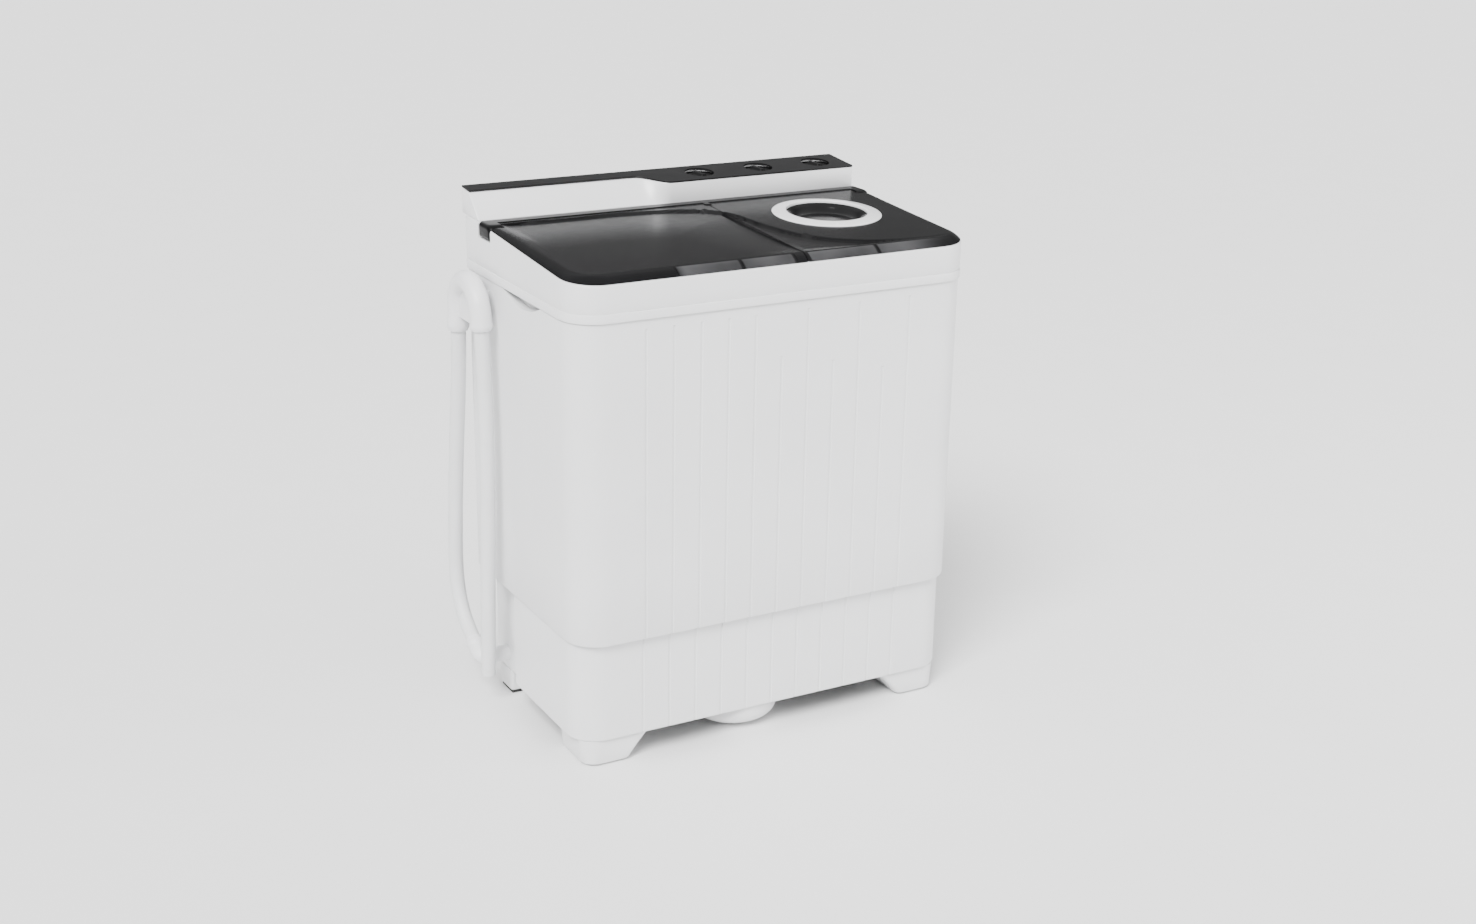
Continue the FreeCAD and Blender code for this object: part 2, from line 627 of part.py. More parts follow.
console_left, console_right = -float(D.console_side), float(D.console_side)
thin, plate = float(D.wall), float(D.fascia_thick)
console_low = float(D.rim_back_level)
housing = console_solid(console_left, console_right, console_low, plate, 0)
housing = housing.cut(console_solid(console_left + thin, console_right - thin, console_low - 1,
                                    plate - 1, thin))
inlet = Vector(-250, float(D.console_back), 769)
housing = housing.cut(Part.makeCylinder(13.2, 20, inlet - Vector(0, 15, 0), Vector(0, 1, 0)))
solid_feature("console_housing", housing)

# the fascia lies on the housing and drops three round wells for the knobs
knob_spots = [float(D.knob_first + D.knob_pitch * step) for step in range(3)]
knob_y = float(D.knob_y)
fascia = console_solid(console_left, console_right, console_low, 0, 0)
fascia = fascia.cut(console_solid(console_left - 5, console_right + 5, console_low - 5, plate, -5))
cup_low = float(D.knob_base_level) - 2.5
for x in knob_spots:
    cup = Part.makeCylinder(float(D.well_radius) + 2, 12, Vector(x, knob_y, cup_low))
    below_top = console_solid(console_left, console_right, console_low, 0.2, 0)
    fascia = fascia.fuse(cup.common(below_top))
for x in knob_spots:
    well = Part.makeCylinder(float(D.well_radius), 20, Vector(x, knob_y, float(D.knob_base_level) - 0.6))
    stem_hole = Part.makeCylinder(float(D.stem_radius) + 0.6, 20, Vector(x, knob_y, cup_low - 5))
    fascia = fascia.cut([well, stem_hole])
solid_feature("console_fascia", fascia)

knob_names = ("wash_timer_knob", "wash_selector_knob", "spin_timer_knob")
switch_names = ("wash_timer", "wash_selector_switch", "spin_timer")
for step, (knob_name, switch_name) in enumerate(zip(knob_names, switch_names)):
    x = D.knob_first + D.knob_pitch * step
    rise = D.knob_top_level - D.knob_base_level
    skirt = turned(x, D.knob_y, D.knob_base_level, [(0, 0), (D.knob_radius, 0), (D.knob_radius, 3),
                                                    (D.knob_radius - 2, 4.5), (0, 4.5)])
    grip = cut(rod(x, D.knob_y, D.knob_base_level, D.knob_radius - 3, rise),
               *[block(x + side * 12 - 7.5, x + side * 12 + 7.5, D.knob_y - 25, D.knob_y + 25,
                       D.knob_base_level + 4.5, D.knob_top_level + 1) for side in (-1, 1)])
    stem = rod(x, D.knob_y, D.knob_base_level - 20, D.stem_radius, 20.5)
    node(knob_name, fuse(skirt, grip, stem))
    switch = block(x - 22, x + 22, D.knob_y - 20, D.knob_y + 21, D.console_top_front - 33, cup_low - 0.3)
    terminals = [block(x + shift - 3, x + shift + 3, D.knob_y - 4, D.knob_y + 4, D.console_top_front - 42,
                       D.console_top_front - 32) for shift in (-12, 12)]
    bore = rod(x, D.knob_y, D.console_top_front - 26, D.stem_radius + D.running_play, 40)
    node(switch_name, cut(fuse(switch, *terminals), bore))

node("inlet_socket", turned(inlet.x, D.console_back, inlet.z, [(9.5, -25), (13, -25), (13, 0), (9.5, 0)],
                            along="Y"))

# ---- wash tub: a tapering well with a rim flange, a drain slot on its right and a hole for the drive
wash_at = (D.wash_x, D.wash_y)
mouth_sides = [D.wash_half_width, D.wash_half_width, D.wash_half_depth, D.wash_half_depth]
well_taper = 14
floor_sides = inset(mouth_sides, well_taper)
well_corners, floor_corners = [Size(72)] * 4, [Size(92)] * 4
tub_skin = loft(outline((*wash_at, D.wash_floor - D.tub_wall), inset(floor_sides, -D.tub_wall),
                        inset(floor_corners, -D.tub_wall)),
                outline((*wash_at, D.deck_level), inset(mouth_sides, -D.tub_wall),
                        inset(well_corners, -D.tub_wall)))
tub_well = loft(outline((*wash_at, D.wash_floor), floor_sides, floor_corners),
                outline((*wash_at, D.deck_level + 1), mouth_sides, well_corners))
tub_flange = upright(inset(mouth_sides, -8), [80, 80, 80, 80], D.deck_level - 3, D.deck_level, at=wash_at)
drive_hole = rod(*wash_at, D.wash_floor - 10, 22, 20)
drain_slot = block(D.wash_x + D.wash_half_width - 30, D.wash_x + D.wash_half_width + 10,
                   D.wash_y - 50, D.wash_y - 5, D.wash_floor + 14, D.wash_floor + 60)
overflow_slot = block(D.wash_x + D.wash_half_width - 30, D.wash_x + D.wash_half_width + 10,
                      D.wash_y - 50, D.wash_y - 5, D.deck_level - 60, D.deck_level - 30)
node("wash_tub", cut(fuse(tub_skin, tub_flange), tub_well, drive_hole, drain_slot, overflow_slot))

# ---- lint filter: a mesh box in two side tracks on the tub's right wall; it slides up to come out
filter_x = D.wash_x + D.wash_half_width - 34
filter_frame = block(filter_x, filter_x + 14, D.wash_y + 10, D.wash_y + 90, 470, 610)
filter_hollow = block(filter_x + 2, filter_x + 12, D.wash_y + 13, D.wash_y + 87, 473, 615)
filter_windows = [block(filter_x - 5, filter_x + 20, D.wash_y + 16 + 24 * column,
                        D.wash_y + 36 + 24 * column, 480 + 30 * row, 504 + 30 * row)
                  for column in range(3) for row in range(4)]
node("lint_filter", cut(filter_frame, filter_hollow, *filter_windows))
track_lip = [cut(block(filter_x - 3, filter_x + 20, D.wash_y + y0, D.wash_y + y0 + 6, 455, 625),
                 block(filter_x - 0.5, filter_x + 14.5, D.wash_y + 9.5, D.wash_y + 90.5, 467, 640))
             for y0 in (6, 88)]
track_back = block(filter_x + 14.6, filter_x + 17.6, D.wash_y + 6, D.wash_y + 94, 455, 625)
track_floor = block(filter_x - 3, filter_x + 20, D.wash_y + 6, D.wash_y + 94, 455, 466)
track = cut(fuse(*track_lip, track_back, track_floor), cut(block(-200, 200, -250, 250, 400, 650), tub_well))
node("filter_track", track)

# ---- drain channel: the duct between the tubs that takes water from the slots down to the pump
channel_x0, channel_x1 = D.wash_x + D.wash_half_width + D.tub_wall + 0.6, D.spin_x - D.spin_tub_radius - 0.6
channel = cut(block(channel_x0, channel_x1, D.wash_y - 58, D.wash_y + 3, D.spin_floor + 3,
                    D.deck_level - 25),
              block(channel_x0 + 2, channel_x1 - 2, D.wash_y - 56, D.wash_y + 1, D.spin_floor + 5,
                    D.deck_level - 27),
              block(channel_x0 - 2, channel_x0 + 3, D.wash_y - 50, D.wash_y - 5, D.deck_level - 60,
                    D.deck_level - 30),
              rod(channel_x0 + 22, D.wash_y - 28, D.spin_floor, 8, 8))
node("drain_channel", channel)
slot_grille = block(D.wash_x + D.wash_half_width - 16.4, D.wash_x + D.wash_half_width - 14.4,
                    D.wash_y - 54, D.wash_y - 1, D.wash_floor + 10, D.wash_floor + 64)
grille_bars = [block(D.wash_x + D.wash_half_width - 20, D.wash_x + D.wash_half_width - 10,
                     D.wash_y - 50, D.wash_y - 5, D.wash_floor + 15 + 8 * row, D.wash_floor + 19 + 8 * row)
               for row in range(6)]
node("drain_grille", cut(slot_grille, *grille_bars))

# ---- wash drive: bearing housing under the tub, shaft, pulsator, belt and two pulleys
bearing_low = D.pulley_level + D.pulley_width + 6
node("bearing_housing", turned(*wash_at, 0, [
    (D.drive_shaft_radius + D.running_play, bearing_low), (30, bearing_low), (30, 240), (48, 250),
    (48, D.wash_floor - D.tub_wall - 0.1), (21.7, D.wash_floor - D.tub_wall - 0.1),
    (21.7, D.wash_floor + 6), (D.drive_shaft_radius + D.running_play, D.wash_floor + 6)]))
shaft_top = D.wash_floor + 30
shaft_low = D.pulley_level - 6
node("pulsator_shaft", turned(*wash_at, 0, [(0, shaft_low), (D.drive_shaft_radius, shaft_low),
                                            (D.drive_shaft_radius, shaft_top), (0, shaft_top)]))
disc_low = D.wash_floor + 9
disc = turned(*wash_at, 0, [
    (D.drive_shaft_radius, disc_low), (D.pulsator_radius - 6, disc_low), (D.pulsator_radius, disc_low + 4),
    (D.pulsator_radius, disc_low + 7), (60, disc_low + 12), (38, disc_low + 26), (14, disc_low + 32),
    (0, disc_low + 33), (0, shaft_top), (D.drive_shaft_radius, shaft_top)])
vanes = []
for step in range(6):
    vane = doc.addObject("Part::Box", "vane")
    tie(vane, "Length", D.pulsator_radius - 34)
    vane.Width = 12
    vane.Height = 22
    turn = FreeCAD.Rotation(Vector(0, 0, 1), 60 * step)
    shift = turn.multVec(Vector(26, -6, 0))
    vanes.append(place(vane, D.wash_x + shift.x, D.wash_y + shift.y, disc_low + 5, turn))
node("pulsator", fuse(disc, *vanes))


def pulley(x, y, radius, bore, groove=6):
    """A flat belt pulley with a flange above and below its groove."""
    low, high = D.pulley_level, D.pulley_level + D.pulley_width
    rim = radius + groove
    return turned(x, y, 0, [(bore, low), (rim, low), (rim, low + 2), (radius, low + 3),
                            (radius, high - 3), (rim, high - 2), (rim, high), (bore, high)])


driven = pulley(*wash_at, D.driven_radius, D.drive_shaft_radius)
lightening = []
for step in range(5):
    angle = math.radians(72 * step)
    lightening.append(rod(D.wash_x + 48 * math.cos(angle), D.wash_y + 48 * math.sin(angle),
                          D.pulley_level - 5, 17, 30))
node("driven_pulley", cut(driven, *lightening))
motor_top = D.wash_floor - D.tub_wall - 1
motor_low = D.pulley_level + D.pulley_width + 12
shaft_low, shaft_high = D.pulley_level - 4, motor_top - 18
shaft = turned(D.motor_x, D.motor_y, 0, [(0, shaft_low), (D.motor_shaft_radius, shaft_low),
                                         (D.motor_shaft_radius, shaft_high), (0, shaft_high)])
node("motor_pulley", fuse(pulley(D.motor_x, D.motor_y, D.driver_radius, 3), shaft))
bore = D.motor_shaft_radius + D.running_play
node("wash_motor", turned(D.motor_x, D.motor_y, 0, [
    (bore, motor_low - 6), (18, motor_low - 6), (24, motor_low), (44, motor_low),
    (D.motor_radius, motor_low + 12), (D.motor_radius, motor_top - 14), (46, motor_top - 2),
    (0, motor_top - 2), (0, motor_top - 8),
    (bore, motor_top - 8)]))


def belt_outline(radius_a, radius_b, level):
    """The closed line round two circles at a level: two straight sides and two arcs."""
    a = Vector(float(D.wash_x), float(D.wash_y), level)
    b = Vector(float(D.motor_x), float(D.motor_y), level)
    along = Vector(b - a).normalize()
    across = Vector(-along.y, along.x, 0)
    lean = (radius_a - radius_b) / (b - a).Length
    rise = math.sqrt(1 - lean * lean)
    left, right = along * lean + across * rise, along * lean - across * rise
    edges = [
        Part.LineSegment(a + left * radius_a, b + left * radius_b).toShape(),
        Part.Arc(b + left * radius_b, b + along * radius_b, b + right * radius_b).toShape(),
        Part.LineSegment(b + right * radius_b, a + right * radius_a).toShape(),
        Part.Arc(a + right * radius_a, a - along * radius_a, a + left * radius_a).toShape(),
    ]
    return Part.Wire(edges)


belt_low, belt_width, belt_play, belt_thick = float(D.pulley_level) + 4.5, 9, 0.4, 3.5
inner_belt = [float(D.driven_radius) + belt_play, float(D.driver_radius) + belt_play]
belt_walls = [Part.Face(belt_outline(inner_belt[0] + grow, inner_belt[1] + grow, belt_low)).extrude(
    Vector(0, 0, belt_width)) for grow in (belt_thick, 0)]
solid_feature("drive_belt", belt_walls[0].cut(belt_walls[1]))

# ---- spin side: outer well, perforated basket with its balance ring, shaft, brake, motor on springs
spin_at = (D.spin_x, D.spin_y)
well = D.spin_tub_radius - D.tub_wall
neck, neck_level = D.spin_tub_radius - 9, D.basket_top - 4
node("spin_tub", cut(turned(*spin_at, 0, [
    (24, D.spin_floor), (D.spin_tub_radius - 8, D.spin_floor), (D.spin_tub_radius, D.spin_floor + 8),
    (D.spin_tub_radius, neck_level), (neck, neck_level + 12), (neck, D.deck_level),
    (neck - D.tub_wall, D.deck_level), (neck - D.tub_wall, neck_level + 12), (well, neck_level),
    (well, D.spin_floor + 10), (well - 8, D.spin_floor + D.tub_wall), (24, D.spin_floor + D.tub_wall)]),
    rod(D.spin_x - 85, D.spin_y - 60, D.spin_floor - 5, 9, 12)))
basket_wall = 2
basket_skin = turned(*spin_at, 0, [
    (D.spin_shaft_radius, D.basket_floor), (D.basket_radius - 10, D.basket_floor),
    (D.basket_radius, D.basket_floor + 10), (D.basket_radius, D.basket_top),
    (D.basket_radius - basket_wall, D.basket_top), (D.basket_radius - basket_wall, D.basket_floor + 12),
    (D.basket_radius - 12, D.basket_floor + 3), (40, D.basket_floor + 3), (30, D.basket_floor + 16),
    (D.spin_shaft_radius, D.basket_floor + 16)])
holes = []
for row in range(6):
    for column in range(8):
        turn = 22.5 * column + 11.25 * (row % 2)
        across = FreeCAD.Rotation(Vector(0, 0, 1), turn)
        reach = across.multVec(Vector(float(D.basket_radius) + 5, 0, 0))
        hole = doc.addObject("Part::Cylinder", "basket_hole")
        hole.Radius = 3
        tie(hole, "Height", (D.basket_radius + 5) * 2)
        holes.append(place(hole, D.spin_x - reach.x, D.spin_y - reach.y, D.basket_floor + 40 + 42 * row,
                           across.multiply(TURN["X"])))
node("spin_basket", cut(basket_skin, *holes))
ring_low = D.basket_top + 0.1
node("balance_ring", turned(*spin_at, 0, [
    (94, ring_low), (112, ring_low), (114, ring_low + 3), (114, ring_low + 20), (110, ring_low + 24),
    (96, ring_low + 24), (92, ring_low + 20), (92, ring_low + 3)]))
node("spin_shaft", turned(*spin_at, 0, [
    (0, 90), (D.spin_shaft_radius, 90), (D.spin_shaft_radius, D.basket_floor + 15.8),
    (0, D.basket_floor + 15.8)]))
node("brake_disc", turned(*spin_at, 0, [
    (D.spin_shaft_radius, D.brake_level - 8), (20, D.brake_level - 8), (20, D.brake_level),
    (D.brake_radius, D.brake_level), (D.brake_radius, D.brake_level + 9),
    (D.brake_radius - 5, D.brake_level + 9), (D.brake_radius - 5, D.brake_level + 4),
    (D.spin_shaft_radius, D.brake_level + 4)]))
seal_play = 0.6
node("shaft_seal", turned(*spin_at, 0, [
    (D.spin_shaft_radius + seal_play, 262), (30, 262), (30, 268), (20, 271), (26, 275), (20, 279), (26, 283),
    (20, 287), (23.8, 290), (23.8, D.spin_floor + 8), (15, D.spin_floor + 12),
    (D.spin_shaft_radius + seal_play, D.spin_floor + 12)]))
spin_bore = D.spin_shaft_radius + D.running_play
node("spin_motor", turned(*spin_at, 0, [
    (0, 82), (46, 82), (D.spin_motor_radius, 94), (D.spin_motor_radius, 172), (46, 184), (22, 184),
    (22, 192), (spin_bore, 192), (spin_bore, 88), (0, 88)]))
mount_low, mount_high, mount_circle = D.floor_level + 4.2, 79.8, 40
mount_coils = [(10 if step % 2 else 13, mount_low + 1 + 4 * step) for step in range(1, 7)]
mount_outline = [(0, mount_low), (15, mount_low), (15, mount_low + 3), *mount_coils,
                 (10, mount_low + 28), (14, mount_high - 3), (14, mount_high), (0, mount_high)]
mount_turns = [math.radians(turn) for turn in (90, 210, 330)]
mounts = [turned(D.spin_x + mount_circle * math.cos(turn), D.spin_y + mount_circle * math.sin(turn), 0,
                 mount_outline) for turn in mount_turns]
node("motor_springs", pile(*mounts))
plate_hole = rod(*spin_at, 70, 20, 20)
node("motor_plate", cut(turned(*spin_at, 0, [(0, mount_high), (58, mount_high), (58, 81.8), (0, 81.8)]),
                        plate_hole))

# ---- brake lever: a bar on a pin beside the brake disc, with a lined shoe facing the disc
pin_x, pin_y = D.spin_x + D.brake_radius + 22, D.spin_y + 68
shoe_x = D.spin_x + D.brake_radius + D.brake_gap
lever = block(shoe_x + 6, shoe_x + 14, D.spin_y - 34, pin_y, D.brake_level, D.brake_level + 9)
eye = rod(pin_x, pin_y, D.brake_level, 9, 9)
arm = block(shoe_x + 6, pin_x, pin_y - 8, pin_y + 2, D.brake_level, D.brake_level + 9)
shoe = block(shoe_x, shoe_x + 6.5, D.spin_y - 12, D.spin_y + 12, D.brake_level, D.brake_level + 9)
pin_radius, pin_low, pin_high = 4, D.brake_level - 4, D.spin_floor - 0.2
pin_bore = rod(pin_x, pin_y, D.brake_level - 5, pin_radius + D.running_play, 20)
node("brake_lever", cut(fuse(lever, eye, arm, shoe), pin_bore))
node("brake_pin", turned(pin_x, pin_y, 0, [
    (0, pin_low), (7, pin_low), (7, pin_low + 3), (pin_radius, pin_low + 3),
    (pin_radius, D.spin_floor - 6), (10, D.spin_floor - 6), (10, pin_high), (0, pin_high)]))

# ---- drain pump with its sump, the bulged cover under it and the two pipes
sump_top = 82
node("drain_pump", turned(D.pump_x, D.pump_y, 0, [
    (0, D.floor_level - 18), (28, D.floor_level - 18), (D.pump_radius, D.floor_level - 8),
    (D.pump_radius, 66), (D.pump_radius - 4, sump_top), (24, sump_top), (24, 132), (18, 138), (0, 138)]))
node("pump_cover", turned(D.pump_x, D.pump_y, 0, [
    (0, 7), (44, 7), (58, 16), (67, 30), (70, D.floor_level - 0.2), (67.5, D.floor_level - 0.2), (64.5, 31),
    (56, 18.5), (43, 9.5), (0, 9.5)]))
outlet_level = float(spout_root.z)
outlet_route = [Vector(float(D.pump_x) - float(D.pump_radius) + 0.5, float(D.pump_y), 62),
                Vector(-150, float(D.pump_y), 62), Vector(-250, float(D.pump_y) + 12, 62),
                Vector(-278, -60, 62), Vector(-278, 20, 63), Vector(-272, spout_root.y - 20, outlet_level),
                spout_root]
solid_feature("outlet_pipe", piped(outlet_route, D.pipe_radius, "outlet_pipe"))
sump_start = Vector(float(channel_x0) + 22, float(D.wash_y) - 28, float(D.spin_floor) + 2.8)
sump_route = [sump_start, sump_start - Vector(0, 0, 70), sump_start - Vector(4, 8, 125),
              Vector(24, -110, 110), Vector(10, -116, 76)]
solid_feature("sump_hose", piped(sump_route, 9, "sump_hose"))

# ---- electrical parts and the back panel
capacitors = [rod(x, -135, D.floor_level + 4.1, 20, 62) for x in (70, 116)]
node("capacitors", pile(*capacitors))
node("lid_switch", fuse(block(46, 74, 118, 134, 680, D.deck_level - 0.2), block(54, 66, 122, 130, 672, 681)))
node("back_panel", cut(block(-235, 235, D.body_back + 0.1, D.body_back + 2.6, 245, 615),
                       *[rod(x, D.body_back - 10, z, 1.8, 20, "Y") for x, z in screw_spots]))
screw_outline = [(0, -12), (1.6, -12), (1.6, 0), (4, 0), (3.2, 2), (0, 2.4)]
screws = [turned(x, D.body_back + 2.7, z, screw_outline, along="Y") for x, z in screw_spots]
node("panel_screws", pile(*screws))
grommet_outline = [(4, -8), (9, -8), (9, -3.1), (6, -3.1), (6, 0.1), (9, 0.1), (8, 4), (4, 4)]
node("cord_grommet", turned(230, D.rear_back, 110, grommet_outline, along="Y"))

# ---- build, check and write every node
doc.recompute()
broken = [item.Name for item in doc.Objects if {"Invalid", "Error"} & set(item.State)]
if broken:
    raise RuntimeError(f"objects that failed to build: {broken}")
os.makedirs("parts", exist_ok=True)
for item in NODES:
    if item.Shape.isNull() or not item.Shape.isValid() or not item.Shape.Solids:
        raise RuntimeError(f"{item.Label} is not a valid solid")
    item.Shape.exportStep(f"parts/{item.Label}.step")
    box = item.Shape.BoundBox
    print(f"{item.Label:22s} solids {len(item.Shape.Solids)} volume {item.Shape.Volume / 1000:9.1f} cm3 "
          f"x {box.XMin:7.1f} {box.XMax:7.1f} y {box.YMin:7.1f} {box.YMax:7.1f} "
          f"z {box.ZMin:7.1f} {box.ZMax:7.1f}")
print(len(NODES), "nodes written")
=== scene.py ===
"""Twin tub washer: the looks of each piece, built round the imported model."""
import json
import math

import bpy
import numpy as np
from mathutils import Matrix, Vector


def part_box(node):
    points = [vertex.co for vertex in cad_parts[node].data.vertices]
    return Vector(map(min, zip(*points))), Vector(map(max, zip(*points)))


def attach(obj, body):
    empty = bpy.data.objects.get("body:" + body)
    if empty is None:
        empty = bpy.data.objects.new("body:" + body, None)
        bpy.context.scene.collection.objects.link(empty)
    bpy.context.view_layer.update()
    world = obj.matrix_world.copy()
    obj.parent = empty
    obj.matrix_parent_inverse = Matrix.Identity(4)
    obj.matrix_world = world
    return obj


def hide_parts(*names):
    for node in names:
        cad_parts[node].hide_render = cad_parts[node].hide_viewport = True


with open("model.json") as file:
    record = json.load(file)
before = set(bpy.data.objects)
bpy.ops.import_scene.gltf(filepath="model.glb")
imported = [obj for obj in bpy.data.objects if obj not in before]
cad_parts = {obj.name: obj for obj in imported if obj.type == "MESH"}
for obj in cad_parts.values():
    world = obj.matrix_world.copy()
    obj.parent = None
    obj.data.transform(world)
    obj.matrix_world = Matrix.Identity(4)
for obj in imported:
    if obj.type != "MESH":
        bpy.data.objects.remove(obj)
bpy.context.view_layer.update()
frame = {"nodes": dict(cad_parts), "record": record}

# ---- camera: a 48 mm lens at eye height, looking down at the machine's front and left side
camera = bpy.data.objects.new("camera", bpy.data.cameras.new("camera"))
camera.data.lens, camera.data.sensor_width = 48.0, 36.0
CAMERA_SPOT, CAMERA_ROLL = (-1.3665, -2.5274, 1.36375), math.radians(0.912)
look = Vector((0.46049, 0.82535, -0.32673)).normalized()
level = look.cross(Vector((0, 0, 1))).normalized()
right = level * math.cos(CAMERA_ROLL) + level.cross(look) * math.sin(CAMERA_ROLL)
upward = right.cross(look)
camera.matrix_world = Matrix.Translation(CAMERA_SPOT) @ Matrix(
    (right, upward, -look)).transposed().to_4x4()
bpy.context.scene.collection.objects.link(camera)
bpy.context.scene.camera = camera

# ---- studio: a wide pale floor, one broad soft sun from the upper left, a weak lamp from the right,
# and a sky that is white overhead and dim near the horizon, which keeps the smoked lids dark
floor = bpy.data.objects.new("floor", bpy.data.meshes.new("floor"))
FLOOR_HALF = 40.0
floor.data.from_pydata([(-FLOOR_HALF, -FLOOR_HALF, 0), (FLOOR_HALF, -FLOOR_HALF, 0),
                        (FLOOR_HALF, FLOOR_HALF, 0), (-FLOOR_HALF, FLOOR_HALF, 0)], [], [(0, 1, 2, 3)])
bpy.context.scene.collection.objects.link(floor)
LAMP_AIM = Vector((0, 0, 0.4))


def lamp(name, kind, spot, strength, **settings):
    """A lamp at spot that faces the middle of the machine."""
    data = bpy.data.lights.new(name, kind)
    data.energy = strength
    for setting, value in settings.items():
        setattr(data, setting, value)
    holder = bpy.data.objects.new(name, data)
    aim = LAMP_AIM - Vector(spot)
    holder.matrix_world = Matrix.Translation(spot) @ aim.to_track_quat("-Z", "Y").to_matrix().to_4x4()
    bpy.context.scene.collection.objects.link(holder)


lamp("soft_sun", "SUN", (-2.0, -1.7, 3.2), 6.5, angle=math.radians(28))
lamp("right_lamp", "AREA", (2.8, -2.2, 1.2), 60.0, size=1.6)
sky = bpy.data.worlds.new("sky")
sky.use_nodes = True
sky_tree = sky.node_tree
direction = sky_tree.nodes.new("ShaderNodeTexCoord")
heading = sky_tree.nodes.new("ShaderNodeSeparateXYZ")
rise = sky_tree.nodes.new("ShaderNodeMapRange")
rise.interpolation_type = "SMOOTHSTEP"
for socket, value in (("From Min", 0.42), ("From Max", 0.80), ("To Min", 0.35), ("To Max", 1.5)):
    rise.inputs[socket].default_value = value
sky_tree.links.new(direction.outputs["Generated"], heading.inputs[0])
sky_tree.links.new(heading.outputs["Z"], rise.inputs["Value"])
sky_tree.links.new(rise.outputs[0], sky_tree.nodes["Background"].inputs["Strength"])
sky_tree.nodes["Background"].inputs["Color"].default_value = (1, 1, 1, 1)
bpy.context.scene.world = sky


# ---- drain hose: soft grey-white vinyl tube that leaves the spout low at the back, climbs beside the
# left wall, turns over in its guide and hangs down to a bare cut end just above the floor
class Wire:
    """A value travelling through a finish; sums and products of wires add the matching nodes."""

    def __init__(self, finish, socket):
        self.finish, self.socket = finish, socket

    def __add__(self, other):
        return self.finish.add("ShaderNodeMath", {0: self, 1: other}, operation="ADD")

    def __sub__(self, other):
        return self.finish.add("ShaderNodeMath", {0: self, 1: other}, operation="SUBTRACT")

    def __rsub__(self, other):
        return self.finish.add("ShaderNodeMath", {0: other, 1: self}, operation="SUBTRACT")

    def __mul__(self, other):
        return self.finish.add("ShaderNodeMath", {0: self, 1: other}, operation="MULTIPLY")

    __radd__, __rmul__ = __add__, __mul__


class Finish:
    """One material: its shader, and the single method that adds any other node."""

    def __init__(self, name, roughness, **shader):
        self.material = bpy.data.materials.new(name)
        self.material.use_nodes = True
        self.tree = self.material.node_tree
        self.shader = self.tree.nodes["Principled BSDF"]
        self.shader.inputs["Roughness"].default_value = roughness
        for socket, value in shader.items():
            self.shader.inputs[socket.replace("_", " ")].default_value = value
        self.place = self.add("ShaderNodeTexCoord", output="Object")

    def add(self, kind, inputs=None, output=0, **settings):
        """A node with its settings made first, then its sockets' values or links."""
        made = self.tree.nodes.new(kind)
        for setting, value in settings.items():
            setattr(made, setting, value)
        for socket, value in (inputs or {}).items():
            if isinstance(value, Wire):
                self.tree.links.new(value.socket, made.inputs[socket])
            else:
                made.inputs[socket].default_value = value
        return Wire(self, made.outputs[output])

    def noise(self, scale, detail=3.0, place=None):
        """Smooth noise from 0 to 1 with scale cells per metre."""
        return self.add("ShaderNodeTexNoise", {"Vector": place or self.place, "Scale": scale,
                                               "Detail": detail})

    def step(self, value, low, high):
        """0 below low, 1 above high, and a smooth rise between them."""
        return self.add("ShaderNodeMapRange", {"Value": value, "From Min": low, "From Max": high},
                        interpolation_type="SMOOTHSTEP")

    def mixed(self, share, first, second):
        """The colour first where share is 0, and second where it is 1."""
        inputs = {"Factor": share, 6: first if isinstance(first, Wire) else (*first, 1), 7: (*second, 1)}
        return self.add("ShaderNodeMix", inputs, output=2, data_type="RGBA")

    def distance(self, value, middle):
        """How far a value is from middle, either way."""
        return self.add("ShaderNodeMath", {0: value - middle}, operation="ABSOLUTE")

    def drive(self, socket, wire):
        """Lets a wire set one of the shader's sockets."""
        self.tree.links.new(wire.socket, self.shader.inputs[socket])

    def relief(self, height, metres):
        """Raises the surface by height, from 0 to 1, times metres."""
        self.drive("Normal", self.add("ShaderNodeBump", {"Height": height, "Distance": metres,
                                                         "Strength": 1.0}))


GLOSS_DRIFT = 0.06


def moulded(name, pale, deep, roughness, grain_scale, grain_depth, **shader):
    """Moulded plastic: two close tints in soft clouds, fine grain, and gloss that drifts a little."""
    finish = Finish(name, roughness, **shader)
    clouds = finish.noise(7, 4)
    finish.drive("Base Color", finish.mixed(finish.step(clouds, 0.3, 0.7), pale, deep))
    grain = finish.noise(grain_scale, 2)
    finish.drive("Roughness", finish.noise(40, 3) * GLOSS_DRIFT + (roughness - GLOSS_DRIFT / 2)
                 + grain * 0.03)
    finish.relief(grain, grain_depth)
    return finish


hose_finish = moulded("hose_vinyl", (0.74, 0.745, 0.75), (0.70, 0.705, 0.71), 0.42, 700, 0.00008)
HOSE_X, HOSE_DIAMETER, HOSE_LENGTH = -0.348, 0.023, 1.278
hose_route = [      # (y, z) of each point that pulls the tube, from the spout to the cut end
    (0.141, 0.086), (0.172, 0.104), (0.1945, 0.1325), (0.206, 0.167), (0.207, 0.215), (0.2, 0.3),
    (0.186, 0.4), (0.171, 0.49), (0.163, 0.572), (0.163, 0.64), (0.1363, 0.6667), (0.0987, 0.6667),
    (0.072, 0.64), (0.0695, 0.588), (0.063, 0.5), (0.062, 0.4), (0.067, 0.285), (0.075, 0.165),
    (0.08, 0.052),
]


def smooth_line(name, points):
    """A curve through the pull of its points: a quadratic spline that starts and ends on the outer two."""
    curve = bpy.data.curves.new(name, "CURVE")
    curve.dimensions = "3D"
    spline = curve.splines.new("NURBS")
    spline.points.add(len(points) - 1)
    spline.points.foreach_set("co", np.hstack([np.array(points, float), np.ones((len(points), 1))]).ravel())
    spline.order_u = 3
    spline.use_endpoint_u = True
    spline.resolution_u = 12
    return curve


